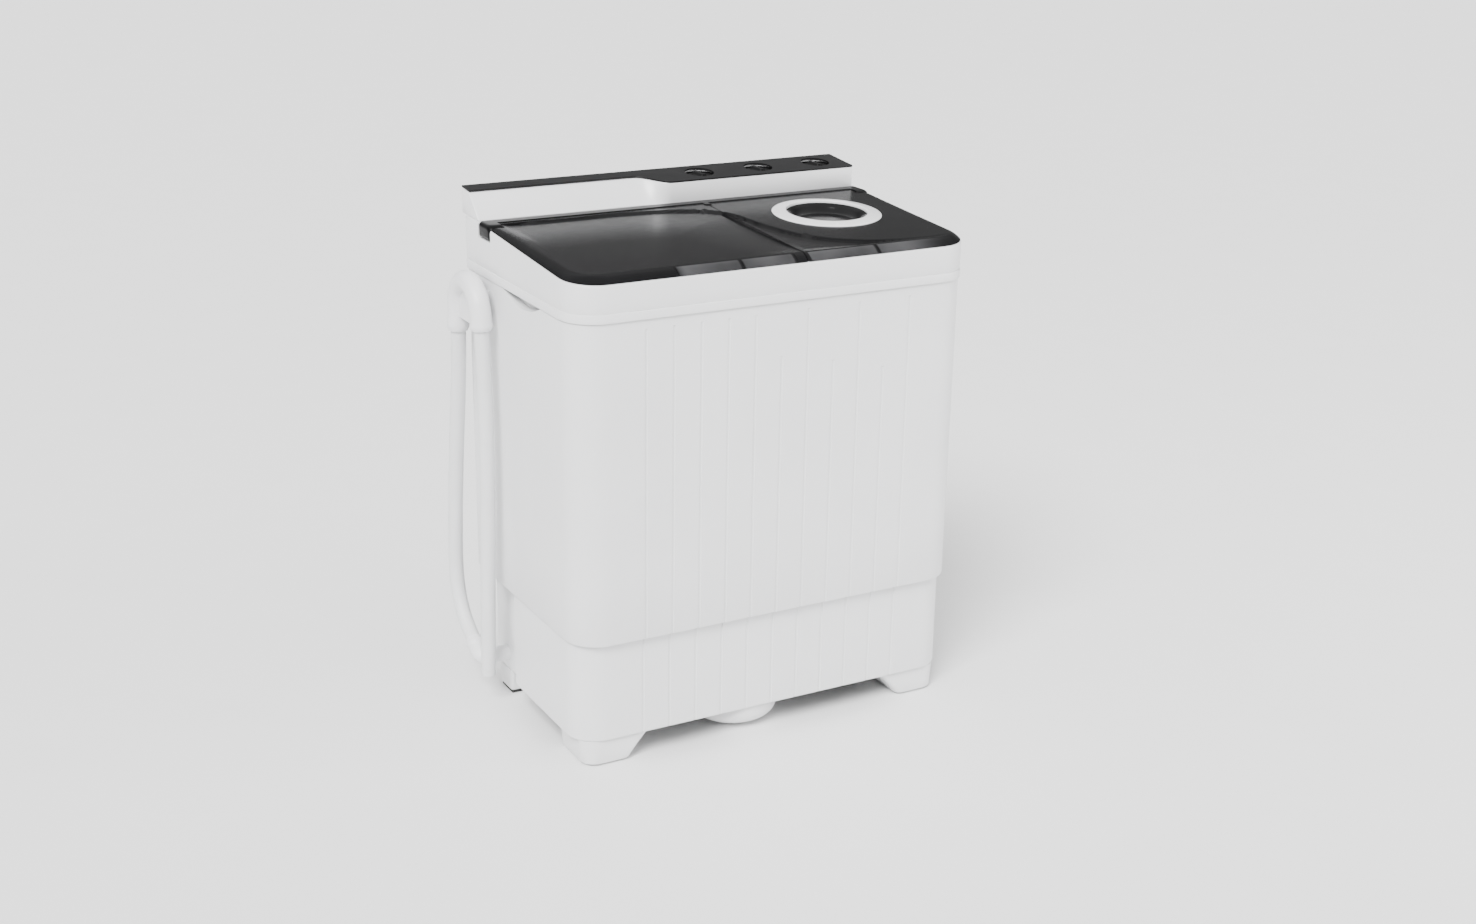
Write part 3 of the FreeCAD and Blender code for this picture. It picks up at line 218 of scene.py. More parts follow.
def linked(name, data):
    """An object with this mesh or curve, in the scene."""
    piece = bpy.data.objects.new(name, data)
    bpy.context.scene.collection.objects.link(piece)
    return piece


def dressed(piece, finish, body, slot, *stands_for):
    """Gives a piece its finish and its CAD body, and hides the nodes that it stands for; slot is not used."""
    piece.data.materials.append(finish.material)
    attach(piece, body)
    if stands_for:
        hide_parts(*stands_for)
    return piece


hose_points = [(HOSE_X, y, z) for y, z in hose_route]
hose_curve = smooth_line("drain_hose_tube", hose_points)
hose_curve.bevel_depth, hose_curve.bevel_resolution = HOSE_DIAMETER / 2, 8
hose_curve.use_fill_caps = True
hose = linked("drain_hose_tube", hose_curve)
dressed(hose, hose_finish, "cabinet", "hose_plastic", "drain_hose")


# ---- hose guide, spout and wall bracket: a bent sleeve of harder plastic with a web between its legs,
# snapped on a bracket on the side wall; the spout is an elbow out of the rear cover
def line_points(curve_data):
    """The points along a smooth line, read from its spline."""
    bare = curve_data.copy()
    bare.bevel_depth = 0
    holder = linked("reading", bare)
    bpy.context.view_layer.update()
    flat = bpy.data.meshes.new_from_object(holder.evaluated_get(bpy.context.evaluated_depsgraph_get()))
    points = np.empty(len(flat.vertices) * 3)
    flat.vertices.foreach_get("co", points)
    bpy.data.objects.remove(holder)
    return points.reshape(-1, 3)


def grid_mesh(name, grid, wrap=False, caps=(False, False), crease=35):
    """A mesh over a grid of points (rows, columns, 3) whose columns close into loops. wrap joins the last
    row to the first; caps close the first and last loops. A shape whose volume comes out negative has
    its faces turned round."""
    rows, columns = grid.shape[:2]
    start = np.arange(rows if wrap else rows - 1)[:, None] * columns
    across = np.arange(columns)[None, :]
    ahead = (across + 1) % columns
    above = (start + columns) % (rows * columns)
    quads = np.stack([start + across, start + ahead, above + ahead, above + across], -1).reshape(-1, 4)
    flat = grid.reshape(-1, 3)
    a, b, c, d = (flat[quads[:, k]] for k in range(4))
    volume = (np.einsum("ij,ij->i", a, np.cross(b, c)) + np.einsum("ij,ij->i", a, np.cross(c, d))).sum()
    faces = quads.tolist()
    ends = [(caps[0], 0, -1), (caps[1], (rows - 1) * columns, 1)]
    for capped, first, way in ends:
        if capped:
            ring = np.arange(columns) + first
            centre = flat[ring].mean(0)
            turn = np.cross(flat[ring] - centre, np.roll(flat[ring], -1, 0) - centre).sum(0)
            volume += float(centre @ turn) * way
            faces.append((ring[::-1] if way < 0 else ring).tolist())
    if volume < 0:
        faces = [face[::-1] for face in faces]
    mesh = bpy.data.meshes.new(name)
    mesh.from_pydata(flat, [], faces)
    mesh.validate()
    mesh.shade_smooth()
    mesh.set_sharp_from_angle(angle=math.radians(crease))
    return linked(name, mesh)


def tube_grid(line, radii, sides=32):
    """Circles of the given radii round each point of a line, square to it; the line lies in a plane."""
    along = np.gradient(line, axis=0)
    along /= np.linalg.norm(along, axis=1)[:, None]
    plane = np.linalg.svd(line - line.mean(0))[2][-1]
    second = np.cross(along, plane)
    turn = np.linspace(0, 2 * np.pi, sides, endpoint=False)
    spread = plane * np.cos(turn)[:, None] + second[:, None] * np.sin(turn)[None, :, None]
    return line[:, None] + spread * np.asarray(radii)[:, None, None]


guide_finish = moulded("guide_plastic_white", (0.80, 0.80, 0.81), (0.77, 0.77, 0.78), 0.36, 900, 0.00006)
hose_line = line_points(hose_curve)
SLEEVE_RADIUS, SLEEVE_BORE, SLEEVE_LOW_REAR, SLEEVE_LOW_FRONT = 0.016, 0.0118, 0.582, 0.600
SLEEVE_BACK, SLEEVE_BEAD, SLEEVE_CHAMFER = 0.19, 0.0009, 0.0015
peak = int(np.argmax(hose_line[:, 2]))
held = [k for k, (x, y, z) in enumerate(hose_line)
        if z > (SLEEVE_LOW_REAR if k < peak else SLEEVE_LOW_FRONT) and y < SLEEVE_BACK]
sleeve_line = hose_line[held[0]:held[-1] + 1]
from_end = np.minimum(np.arange(len(sleeve_line)), np.arange(len(sleeve_line))[::-1])
outer_radii = SLEEVE_RADIUS - SLEEVE_CHAMFER * (from_end == 0) + SLEEVE_BEAD * np.isin(from_end, (1, 2))
outer_skin = tube_grid(sleeve_line, outer_radii)
inner_skin = tube_grid(sleeve_line, np.full(len(sleeve_line), SLEEVE_BORE))[::-1]
sleeve = grid_mesh("hose_guide_sleeve", np.concatenate([outer_skin, inner_skin]), wrap=True)
dressed(sleeve, guide_finish, "cabinet", "guide_plastic", "hose_guide")


CORNER_POINTS, BACK_POINTS = 8, 12


def plan_loop(left, right, front, back, corners, front_at=None, side_at=None, runs=(BACK_POINTS, 12)):
    """Plan of a box with round corners, anticlockwise from its front left: (n, 2). front_at gives the x of
    the points along the front, side_at the y of those along both sides."""
    turn = np.linspace(0, np.pi / 2, CORNER_POINTS)

    def corner(x, y, radius, quarter):
        angle = turn + quarter * np.pi / 2
        return np.stack([x + radius * np.cos(angle), y + radius * np.sin(angle)], -1)

    def run(fixed, start, end, places, count, axis):
        between = np.linspace(start, end, count + 2)[1:-1] if places is None else places
        pair = [between, np.full(len(between), fixed)]
        return np.stack(pair if axis == 0 else pair[::-1], -1)

    near_left, near_right, far_right, far_left = corners
    sides = None if side_at is None else np.asarray(side_at)
    return np.concatenate([
        corner(left + near_left, front + near_left, near_left, 2),
        run(front, left + near_left, right - near_right, front_at, runs[0], 0),
        corner(right - near_right, front + near_right, near_right, 3),
        run(right, front + near_right, back - far_right, sides, runs[1], 1),
        corner(right - far_right, back - far_right, far_right, 0),
        run(back, right - far_right, left + far_left, None, runs[0], 0),
        corner(left + far_left, back - far_left, far_left, 1),
        run(left, back - far_left, front + near_left, None if sides is None else sides[::-1], runs[1], 1)])


def lifted(loop, height):
    """A plan loop at a height, which is one number or one for each point."""
    return np.concatenate([loop, np.broadcast_to(height, (len(loop),))[:, None]], -1)


def soft_box(name, x0, x1, y0, y1, z0, z1, radius, edge=0.001):
    """A block with round upright edges of radius, its top and bottom edges eased by edge."""
    loops = [lifted(plan_loop(x0 + t, x1 - t, y0 + t, y1 - t, [max(radius - t, 0.0002)] * 4, runs=(2, 2)), z)
             for t, z in ((edge, z0), (0, z0 + edge), (0, z1 - edge), (edge, z1))]
    return grid_mesh(name, np.stack(loops), caps=(True, True))


WEB_FRONT, WEB_BACK, WEB_LOW, WEB_HIGH, WEB_HALF = 0.0855, 0.1495, 0.606, 0.652, 0.004
TONGUE_WALL_END, TONGUE_FRONT, TONGUE_BACK, TONGUE_LOW, TONGUE_HIGH = -0.3276, 0.108, 0.128, 0.624, 0.636
web = soft_box("hose_guide_web", HOSE_X - WEB_HALF, HOSE_X + WEB_HALF, WEB_FRONT, WEB_BACK, WEB_LOW,
               WEB_HIGH, 0.002)
dressed(web, guide_finish, "cabinet", "guide_plastic")
tongue = soft_box("hose_guide_tongue", HOSE_X, TONGUE_WALL_END, TONGUE_FRONT, TONGUE_BACK, TONGUE_LOW,
                  TONGUE_HIGH, 0.002)
dressed(tongue, guide_finish, "cabinet", "guide_plastic")
SPOUT_ROOT_X, SPOUT_BEND_X, SPOUT_REACH, SPOUT_RADIUS, SPOUT_BEAD = -0.292, -0.325, 0.037, 0.0125, 0.0012
spout_mouth, climb = np.array(hose_points[0]), np.array(hose_points[1]) - np.array(hose_points[0])
spout_corner = spout_mouth - climb / np.linalg.norm(climb) * SPOUT_REACH
spout_line = line_points(smooth_line("spout_line", [
    (SPOUT_ROOT_X, *spout_corner[1:]), (SPOUT_BEND_X, *spout_corner[1:]), spout_corner,
    spout_corner * 0.5 + spout_mouth * 0.5, spout_mouth]))
to_mouth = np.arange(len(spout_line))[::-1]
spout_radii = SPOUT_RADIUS + SPOUT_BEAD * ((to_mouth > 2) & (to_mouth < 7))
spout = grid_mesh("hose_spout_elbow", tube_grid(spout_line, spout_radii), caps=(True, True))
dressed(spout, guide_finish, "cabinet", "hose_plastic", "hose_spout")


# ---- outer body: white moulded shell with eleven flutes down its front and a finger grip in each side
body_low, body_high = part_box("outer_body")
FLUTES = np.arange(-5, 6) * 0.043
FLUTE_TOPS = np.full(len(FLUTES), 0.657)
FLUTE_TOPS[[5, 7, 9]] = 0.592, 0.575, 0.555
FLUTE_HALF, FLUTE_DEPTH, FLUTE_EASE = 0.0011, 0.0014, 0.0011
flute_xs = (FLUTES[:, None] + np.array([-FLUTE_HALF - FLUTE_EASE, -FLUTE_HALF, FLUTE_HALF,
                                        FLUTE_HALF + FLUTE_EASE])).ravel()


def fluted(loop, height, front, tops):
    """Pushes a front wall back in its flutes: full depth within half a flute of a centre line, none a
    little outside it, and none above that flute's top."""
    away = np.abs(loop[:, :1] - FLUTES)
    depth = np.clip((FLUTE_HALF + FLUTE_EASE - away) / FLUTE_EASE, 0, 1) * np.clip(
        (tops - height) / 0.001 + 0.5, 0, 1)
    on_front = np.abs(loop[:, 1] - front) < 1e-6
    return loop + np.stack([np.zeros(len(loop)), FLUTE_DEPTH * depth.max(1) * on_front], -1)


GRIP_RADIUS, GRIP_Y, GRIP_Z, GRIP_DEPTH, GRIP_EASE = 0.150, -0.022, 0.805, 0.012, 0.003
GRIP_REACH, GRIP_START = 0.070, 0.652
grip_ys = np.linspace(GRIP_Y - GRIP_REACH, GRIP_Y + GRIP_REACH, 141)


def gripped(points, left, right_side):
    """Pushes both side walls in by the grip's depth inside a circle, with a soft step at its edge."""
    inside = GRIP_RADIUS - np.hypot(points[:, 1] - GRIP_Y, points[:, 2] - GRIP_Z)
    share = np.clip(inside / GRIP_EASE, 0, 1)
    push = GRIP_DEPTH * share * share * (3 - 2 * share)
    points[:, 0] += push * (np.abs(points[:, 0] - left) < 1e-6) - push * (
        np.abs(points[:, 0] - right_side) < 1e-6)
    return points


BODY_DRAFT, BODY_CORNER, BACK_CORNER, WALL = 0.001, 0.050, 0.024, 0.003


def body_loop(height, thin, with_flutes=True):
    """The body's wall at a height, moved in by thin, with the slight draft of its mould."""
    share = (height - body_low.z) / (body_high.z - body_low.z)
    out = BODY_DRAFT * (share - 1) - thin
    left, right_side, front, back = (body_low.x - out, body_high.x + out, body_low.y - out,
                                     body_high.y + out)
    corners = [radius - thin for radius in (BODY_CORNER, BODY_CORNER, BACK_CORNER, BACK_CORNER)]
    loop = plan_loop(left, right_side, front, back, corners, front_at=flute_xs, side_at=grip_ys)
    if with_flutes:
        loop = fluted(loop, height, front, FLUTE_TOPS)
    return gripped(lifted(loop, height), left, right_side)


grip_rows = np.arange(GRIP_START, body_high.z + 0.0001, 0.0008)
flute_rows = [top + way * 0.0006 for top in (0.555, 0.575, 0.592) for way in (-1, 1)]
plain_rows = [0.3, 0.4, 0.5, *flute_rows, 0.62, 0.645, *grip_rows]
body_rows = [(0.196, 0.0009), (0.1964, 0.0003), (0.197, 0), *((z, 0) for z in plain_rows)]
LEDGE_SIDE, LEDGE_FRONT, LEDGE_BACK, LEDGE_TOP = 0.3188, -0.1925, 0.149, 0.199
inner_levels = [*grip_rows[::-3], 0.645, LEDGE_TOP]
ledge = plan_loop(-LEDGE_SIDE, LEDGE_SIDE, LEDGE_FRONT, LEDGE_BACK, [0.044, 0.044, 0.002, 0.002],
                  front_at=flute_xs, side_at=grip_ys)
body_grid = np.stack([body_loop(z, thin) for z, thin in body_rows]
                     + [body_loop(z, WALL, False) for z in inner_levels]
                     + [lifted(ledge, z) for z in (LEDGE_TOP, 0.196)])
white_finish = moulded("shell_white", (0.80, 0.803, 0.81), (0.775, 0.778, 0.786), 0.30, 520, 0.00005,
                       Coat_Weight=0.15, Coat_Roughness=0.2)
outer_body = grid_mesh("outer_body_shell", body_grid, wrap=True, crease=30)
dressed(outer_body, white_finish, "cabinet", "white_shell", "outer_body")

# ---- base shell and rear cover: the narrower skirt under the body, fluted like it, closed behind by a
# plain moulded cover with a rounded lower edge
base_low, base_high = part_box("base_shell")
base_corners = [0.046, 0.046, 0.002, 0.002]
ABOVE_SKIRT = 1.0


def base_loop(height, thin, with_flutes=True):
    """The skirt's wall at a height, moved in by thin; its flutes run out at its top."""
    front = base_low.y + thin
    loop = plan_loop(base_low.x + thin, base_high.x - thin, front, base_high.y - thin,
                     [c - min(thin, c / 2) for c in base_corners], front_at=flute_xs, runs=(44, 8))
    return lifted(fluted(loop, height, front, ABOVE_SKIRT) if with_flutes else loop, height)


base_rows = [(0.0415, 0.0025), (0.0421, 0.0012), (0.0435, 0.0003), (0.045, 0), (0.12, 0), (0.214, 0)]
base_grid = np.stack([base_loop(z, thin) for z, thin in base_rows]
                     + [base_loop(z, WALL, False) for z in (0.214, 0.0415)])
base = grid_mesh("base_skirt", base_grid, wrap=True, crease=30)
dressed(base, white_finish, "cabinet", "white_shell", "base_shell")


def profile_loops(profile, stations):
    """The same closed (y, z) outline at each (x, shrink) station, drawn towards its middle by shrink."""
    middle = profile.mean(0)
    spread = profile - middle
    reach = np.abs(spread).max(0)
    return np.stack([
        np.concatenate([np.full((len(profile), 1), x), middle + spread * (1 - shrink / reach)], -1)
        for x, shrink in stations])


rear_low, rear_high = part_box("rear_base_cover")
rear_outline = plan_loop(rear_low.y, rear_high.y, rear_low.z, rear_high.z, [0.001, 0.022, 0.002, 0.001],
                         runs=(6, 6))
EDGE = 0.0015
rear_stations = [(rear_low.x, EDGE), (rear_low.x + EDGE / 3, EDGE / 3), (rear_low.x + EDGE, 0),
                 (rear_high.x - EDGE, 0), (rear_high.x - EDGE / 3, EDGE / 3), (rear_high.x, EDGE)]
rear_cover = grid_mesh("rear_base_moulding", profile_loops(rear_outline, rear_stations), caps=(True, True))
rear_finish = moulded("rear_cover_white", (0.78, 0.785, 0.79), (0.75, 0.755, 0.76), 0.38, 520, 0.00008)
dressed(rear_cover, rear_finish, "cabinet", "white_shell", "rear_base_cover")

# ---- top frame: the broad white band round both tubs, with a thin flange at its foot; its rim slopes
# down towards the front, and notches at the back corners take the hinge bosses
frame_low, frame_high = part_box("top_frame")
RIM_FRONT, RIM_BACK, RIM_KINK, RIM_START = 0.725, 0.749, 0.133, -0.205


def rim(y):
    """The rim's height: a straight slope from the front to the console, and level behind it."""
    return np.minimum(RIM_FRONT + (y - RIM_START) * (RIM_BACK - RIM_FRONT) / (RIM_KINK - RIM_START), RIM_BACK)


outer_ys = np.array([-0.14, -0.1, -0.05, 0.0, 0.04, 0.08, 0.12, RIM_KINK, 0.15, 0.165])
inner_ys = np.linspace(-0.13, 0.128, 10)
frame_corners = [0.052, 0.052, 0.026, 0.026]


def frame_loop(thin):
    """The frame's outer wall, moved in by thin."""
    return plan_loop(frame_low.x + thin, frame_high.x - thin, frame_low.y + thin, frame_high.y - thin,
                     [c - thin for c in frame_corners], side_at=outer_ys)


opening = plan_loop(-0.311, 0.311, -0.191, 0.132, [0.045, 0.045, 0.002, 0.002], side_at=inner_ys)
frame_loops = [lifted(frame_loop(thin), z) for thin, z in (
    (0.0016, 0.671), (0.0004, 0.6716), (0, 0.673), (0, 0.6825), (0.0006, 0.6838), (0.0020, 0.6842),
    (0.0014, 0.6856), (0.0006, 0.700))]
frame_loops += [lifted(frame_loop(thin), rim(frame_loop(thin)[:, 1]) - drop)
                for thin, drop in ((0.0006, 0.004), (0.0009, 0.002), (0.0018, 0.0007), (0.0034, 0))]
frame_loops += [lifted(opening, rim(opening[:, 1])), lifted(opening, 0.7155)]
top_frame = grid_mesh("top_frame_band", np.stack(frame_loops), wrap=True)


def cut_away(piece, cutter, crease):
    """Takes the shape of a cutter out of a piece, and the cutter out of the scene."""
    cut = piece.modifiers.new("cut", "BOOLEAN")
    cut.object, cut.operation, cut.solver = cutter, "DIFFERENCE", "EXACT"
    bpy.context.view_layer.update()
    shaped = bpy.data.meshes.new_from_object(piece.evaluated_get(bpy.context.evaluated_depsgraph_get()))
    piece.modifiers.clear()
    piece.data = shaped
    bpy.data.objects.remove(cutter)
    piece.data.set_sharp_from_angle(angle=math.radians(crease))


NOTCH_SIDE, NOTCH_FAR, NOTCH_FRONT, NOTCH_BACK = 0.3027, 0.34, 0.0857, 0.1318
NOTCH_LOW, NOTCH_HIGH = 0.7277, 0.77
for x0, x1 in ((-NOTCH_FAR, -NOTCH_SIDE), (NOTCH_SIDE, NOTCH_FAR)):
    notch_cutter = soft_box("cutter", x0, x1, NOTCH_FRONT, NOTCH_BACK, NOTCH_LOW, NOTCH_HIGH, 0.002, 0.0005)
    cut_away(top_frame, notch_cutter, 35)
dressed(top_frame, white_finish, "cabinet", "white_shell", "top_frame")

# ---- hinge rail: a black bar behind the lids with a rounded boss at each end that hooks over the frame
black_finish = moulded("trim_black", (0.003, 0.003, 0.0032), (0.006, 0.006, 0.0064), 0.28, 900, 0.00005,
                       Specular_IOR_Level=0.08)
rail_low, rail_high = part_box("hinge_rail")
RAIL_FRONT, RAIL_SIDE = 0.1095, 0.303
bar_outline = plan_loop(RAIL_FRONT, rail_high.y, rail_low.z, rail_high.z, [0.0015, 0.0015, 0.003, 0.003],
                        runs=(4, 4))
rail_bar = grid_mesh("hinge_rail_bar", profile_loops(bar_outline, [(-RAIL_SIDE, 0), (RAIL_SIDE, 0)]),
                     caps=(True, True))
dressed(rail_bar, black_finish, "cabinet", "black_trim", "hinge_rail")
BOSS_LOW, BOSS_ROUND = 0.728, 0.007
boss_outline = plan_loop(rail_low.y, rail_high.y, BOSS_LOW, rail_high.z, [0.004, 0.002, 0.003, 0.011],
                         runs=(3, 3))
for name, side, outer in (("hinge_boss_left", -1, rail_low.x), ("hinge_boss_right", 1, rail_high.x)):
    turns = np.linspace(0, np.pi / 2, 7)
    stations = [(outer - side * BOSS_ROUND * (1 - math.cos(turn)), BOSS_ROUND * (1 - math.sin(turn)))
                for turn in turns] + [(side * RAIL_SIDE, 0)]
    stations.sort()
    dressed(grid_mesh(name, profile_loops(boss_outline, stations), caps=(True, True)), black_finish,
            "cabinet", "black_trim")
middle_outline = plan_loop(0.097, 0.111, 0.741, rail_high.z, [0.003, 0.001, 0.001, 0.005], runs=(3, 3))
dressed(grid_mesh("hinge_boss_middle", profile_loops(middle_outline, [(0.0355, 0), (0.0445, 0)]),
                  caps=(True, True)), black_finish, "cabinet", "black_trim")

# ---- lids: two smoked acrylic covers with a sloping front edge divided by ribs; one S-shaped step runs
# over both, so that the wash side and the front lie a little lower than the part round the spin window
LID_SIDE, LID_FRONT, LID_BACK, LID_WALL = 0.323, -0.203, 0.1047, 0.0025
TOP_SIDE, TOP_FRONT, SEAM = 0.308, -0.186, 0.040
SPIN_CENTRE = np.array([0.188, -0.006])
RIBS = np.array([-0.292, -0.167, -0.064, 0.022, 0.159, 0.284])
RIB_HALF, RIB_DEPTH, RIB_FOOT = 0.0012, 0.0012, 1.6
LID_SLOPE = 0.0155 / 0.3175
LID_FOOT, LID_FRONT_LEVEL, LID_SWELL, RIM_GAP = 0.054, 0.736, 0.0015, 0.0004
STEP_DROP, STEP_WIDTH, STEP_FADE, STEP_EDGE = 0.0030, 0.0050, 0.15, 0.016
OUTER_NOTCH, SEAM_NOTCH = (0.3024, 0.0845), 0.0955
step_line = np.array([(-0.276, 0.125), (-0.275, 0.101), (-0.25, 0.0995), (-0.108, 0.0985), (-0.045, 0.092),
                      (0.015, 0.074), (0.046, 0.049), (0.054, 0.02), (0.062, -0.037), (0.085, -0.1),
                      (0.114, -0.136), (0.162, -0.165), (0.21, -0.175), (0.268, -0.179), (0.33, -0.181)])


def lid_plane(y):
    """Height of the lids' top: a straight slope up towards the hinge."""
    return LID_FRONT_LEVEL + (y - TOP_FRONT) * LID_SLOPE


def densified(corners, count, passes):
    """Even points along a bent line, each then averaged with its neighbours a few times to round it."""
    lengths = np.concatenate([[0], np.cumsum(np.hypot(*np.diff(corners, axis=0).T))])
    places = np.linspace(0, lengths[-1], count)
    line = np.stack([np.interp(places, lengths, corners[:, k]) for k in (0, 1)], -1)
    for _ in range(passes):
        line[1:-1] = line[1:-1] * 0.5 + (line[:-2] + line[2:]) * 0.25
    return line


step_points = densified(step_line, 240, 40)


def step_share(x, y):
    """1 on the lower, front left side of the S line and 0 behind it: the signed distance to the nearest
    point of the line, through a smooth step. The signed distance is given too."""
    gap = np.stack([x, y], -1)[:, None] - step_points[None]
    distance = np.hypot(gap[..., 0], gap[..., 1])
    nearest = distance.argmin(1)
    along = np.gradient(step_points, axis=0)[nearest]
    away = gap[np.arange(len(x)), nearest]
    side = np.sign(along[:, 1] * away[:, 0] - along[:, 0] * away[:, 1])
    signed = side * distance.min(1)
    share = np.clip(signed / STEP_WIDTH + 0.5, 0, 1)
    return share * share * (3 - 2 * share), signed


def lid_grid(left, right, low_corners, top_corners, notches, centre, hole, rings):
    """A lid as loops: up the sloping edge, over the top to a small circle round centre, and back under it
    one wall lower. Between the top's outline and the circle each point moves on a straight line."""
    round_left, round_right = left < -0.1, right > 0.1
    top_left, top_right = max(left, -TOP_SIDE), min(right, TOP_SIDE)
    first = left + (LID_FOOT if round_left else 0.004)
    last = right - (LID_FOOT if round_right else 0.004)
    ribs = (RIBS[:, None] + np.array([-RIB_FOOT, -1, 1, RIB_FOOT]) * RIB_HALF).ravel()
    front_xs = np.sort(np.concatenate([np.linspace(first, last, 84), ribs[(ribs > first) & (ribs < last)]]))
    ys = np.linspace(-0.146, 0.080, 56)

    def notch(side, way, spot, thin):
        """The back corner's outline: along the notch's front, then back beside the hinge boss."""
        x, y = spot[0] - way * thin, spot[1] - thin
        forward = np.stack([np.linspace(side, x, 4), np.full(4, y)], -1)
        beside = np.stack([np.full(4, x), np.linspace(y, LID_BACK - thin, 5)[1:]], -1)
        return np.concatenate([forward, beside])

    def loop(share, thin, drop):
        """The edge's outline, share of the way from its foot to the top's outline."""
        sides = [a + (b - a) * share for a, b in ((left, top_left), (right, top_right),
                                                  (LID_FRONT, TOP_FRONT))]
        corners = [a + (b - a) * share for a, b in zip(low_corners, top_corners)]
        plan = plan_loop(sides[0] + thin, sides[1] - thin, sides[2] + thin, LID_BACK - thin,
                         [max(c - thin, 0.0008) for c in corners], front_at=front_xs, side_at=ys)
        after_right = 2 * CORNER_POINTS + len(front_xs) + len(ys)
        before_left = after_right + CORNER_POINTS + BACK_POINTS
        plan[after_right:after_right + CORNER_POINTS] = notch(sides[1] - thin, 1, notches[1], thin)
        plan[before_left:before_left + CORNER_POINTS] = notch(sides[0] + thin, -1, notches[0], thin)[::-1]
        height = (rim(plan[:, 1]) + RIM_GAP) * (1 - share) + lid_plane(plan[:, 1]) * share
        rib = np.clip((RIB_FOOT - np.abs(plan[:, :1] - RIBS) / RIB_HALF) / (RIB_FOOT - 1), 0, 1).max(1)
        grooved = rib * (plan[:, 1] < TOP_FRONT + 0.004) * math.sin(math.pi * share) ** 0.3
        swell = LID_SWELL * math.sin(math.pi * share)
        return lifted(plan, height - drop + swell - RIB_DEPTH * grooved)

    def skin(thin, drop):
        """One face of the lid: the sloping edge, then the top with its S step."""
        edge = [loop(share, thin, drop * min(share / 0.15, 1)) for share in (0, 0.08, 0.25, 0.5, 0.75, 0.93)]
        start = loop(1, thin + 0.0008, drop)[:, :2]
        spoke = start - centre
        reach = np.linalg.norm(spoke, axis=1)[:, None]
        circle = centre + spoke / reach * hole
        top = []
        for share in np.linspace(0, 1, rings):
            plan = start + share * (circle - start)
            inward = np.clip(np.stack([plan[:, 1] - TOP_FRONT - 0.002, plan[:, 0] + TOP_SIDE - 0.004,
                                       TOP_SIDE - 0.004 - plan[:, 0]]).min(0) / STEP_EDGE, 0, 1)
            share_sunk, from_line = step_share(plan[:, 0], plan[:, 1])
            fade = np.clip(1 - from_line / STEP_FADE, 0, 1)
            sunk = STEP_DROP * share_sunk * inward * fade * fade * (3 - 2 * fade)
            top.append(lifted(plan, lid_plane(plan[:, 1]) - drop - sunk))
        return np.stack(edge + top)

    return np.concatenate([skin(LID_WALL, LID_WALL)[::-1], skin(0.0, 0.0)])


lid_finish = Finish("smoked_acrylic", 0.14, Specular_IOR_Level=0.08)
spot = lid_finish.add("ShaderNodeSeparateXYZ", {0: lid_finish.place}, output=0)
spot_y = Wire(lid_finish, spot.socket.node.outputs[1])
spot_x = Wire(lid_finish, spot.socket.node.outputs[0])
# Painted reflection: over the middle of both lids the sloping front edge gets a lighter grey in noisy
# streaks, standing in for the sky reflected in it; it stops at the ribs between the ends and in the strip by
# the seam, which so stay dark.
front_edge = 1 - lid_finish.step(spot_y, -0.1885, -0.1865)
lit_part = lid_finish.step(spot_x, -0.172, -0.150) * (1 - lid_finish.step(spot_x, 0.190, 0.285))
reflection_streaks = lid_finish.step(lid_finish.noise(11, 2), 0.30, 0.65) * 0.6 + 0.4
for rib_x in RIBS[1:-1]:
    reflection_streaks = reflection_streaks * lid_finish.step(lid_finish.distance(spot_x, rib_x), 0.0015, 0.0050)
seam_strip = lid_finish.step(spot_x, 0.021, 0.023) * (1 - lid_finish.step(spot_x, 0.045, 0.047))
reflection_streaks = reflection_streaks * (1 - seam_strip)
smoke = lid_finish.mixed(lid_finish.step(lid_finish.noise(5, 3), 0.3, 0.7), (0.003, 0.003, 0.0033),
                         (0.0055, 0.0055, 0.006))
# The painted reflection on the front edge, laid over the smoke colour.
painted_edge_reflection = front_edge * lit_part * reflection_streaks
lid_finish.drive("Base Color", lid_finish.mixed(painted_edge_reflection, smoke, (0.055, 0.055, 0.057)))
lid_finish.drive("Roughness", lid_finish.noise(60, 3) * 0.08 + 0.19)
lid_finish.relief(lid_finish.noise(800, 2), 0.00002)
SEAM_HALF, SEAM_ROOM, FOOT_CORNER, TOP_CORNER, SHARP = 0.0005, 0.0051, 0.050, 0.037, 0.002
WASH_LID_CENTRE, WINDOW_HOLE = np.array([-0.134, -0.040]), 0.070
wash_grid = lid_grid(-LID_SIDE, SEAM - SEAM_HALF, [FOOT_CORNER, SHARP, SHARP, SHARP],
                     [TOP_CORNER, SHARP, SHARP, SHARP],
                     ((-OUTER_NOTCH[0], OUTER_NOTCH[1]), (SEAM - SEAM_ROOM, SEAM_NOTCH)),
                     WASH_LID_CENTRE, 0.002, 56)
dressed(grid_mesh("wash_lid_cover", wash_grid, caps=(True, True)), lid_finish, "wash_lid_assembly",
        "smoked_lid", "wash_lid")
spin_grid = lid_grid(SEAM + SEAM_HALF, LID_SIDE, [SHARP, FOOT_CORNER, SHARP, SHARP],
                     [SHARP, TOP_CORNER, SHARP, SHARP], ((SEAM + SEAM_ROOM, SEAM_NOTCH), OUTER_NOTCH),
                     SPIN_CENTRE, WINDOW_HOLE, 76)
dressed(grid_mesh("spin_lid_cover", spin_grid, wrap=True), lid_finish, "spin_lid_assembly", "smoked_lid",
        "spin_lid")


def lathed(name, profile, centre, turns=96, tilt=0.0, wrap=False, caps=(True, True)):
    """A profile of (radius, height) turned round an upright axis; tilt raises it towards the back."""
    profile = np.asarray(profile, float)
    turn = np.linspace(0, 2 * np.pi, turns, endpoint=False)
    x = profile[:, :1] * np.cos(turn)
    y = profile[:, :1] * np.sin(turn)
    z = profile[:, 1:] + y * tilt
    grid = np.stack([x + centre[0], y + centre[1] - profile[:, 1:] * tilt, z + centre[2]], -1)
    return grid_mesh(name, grid, wrap=wrap, caps=caps)


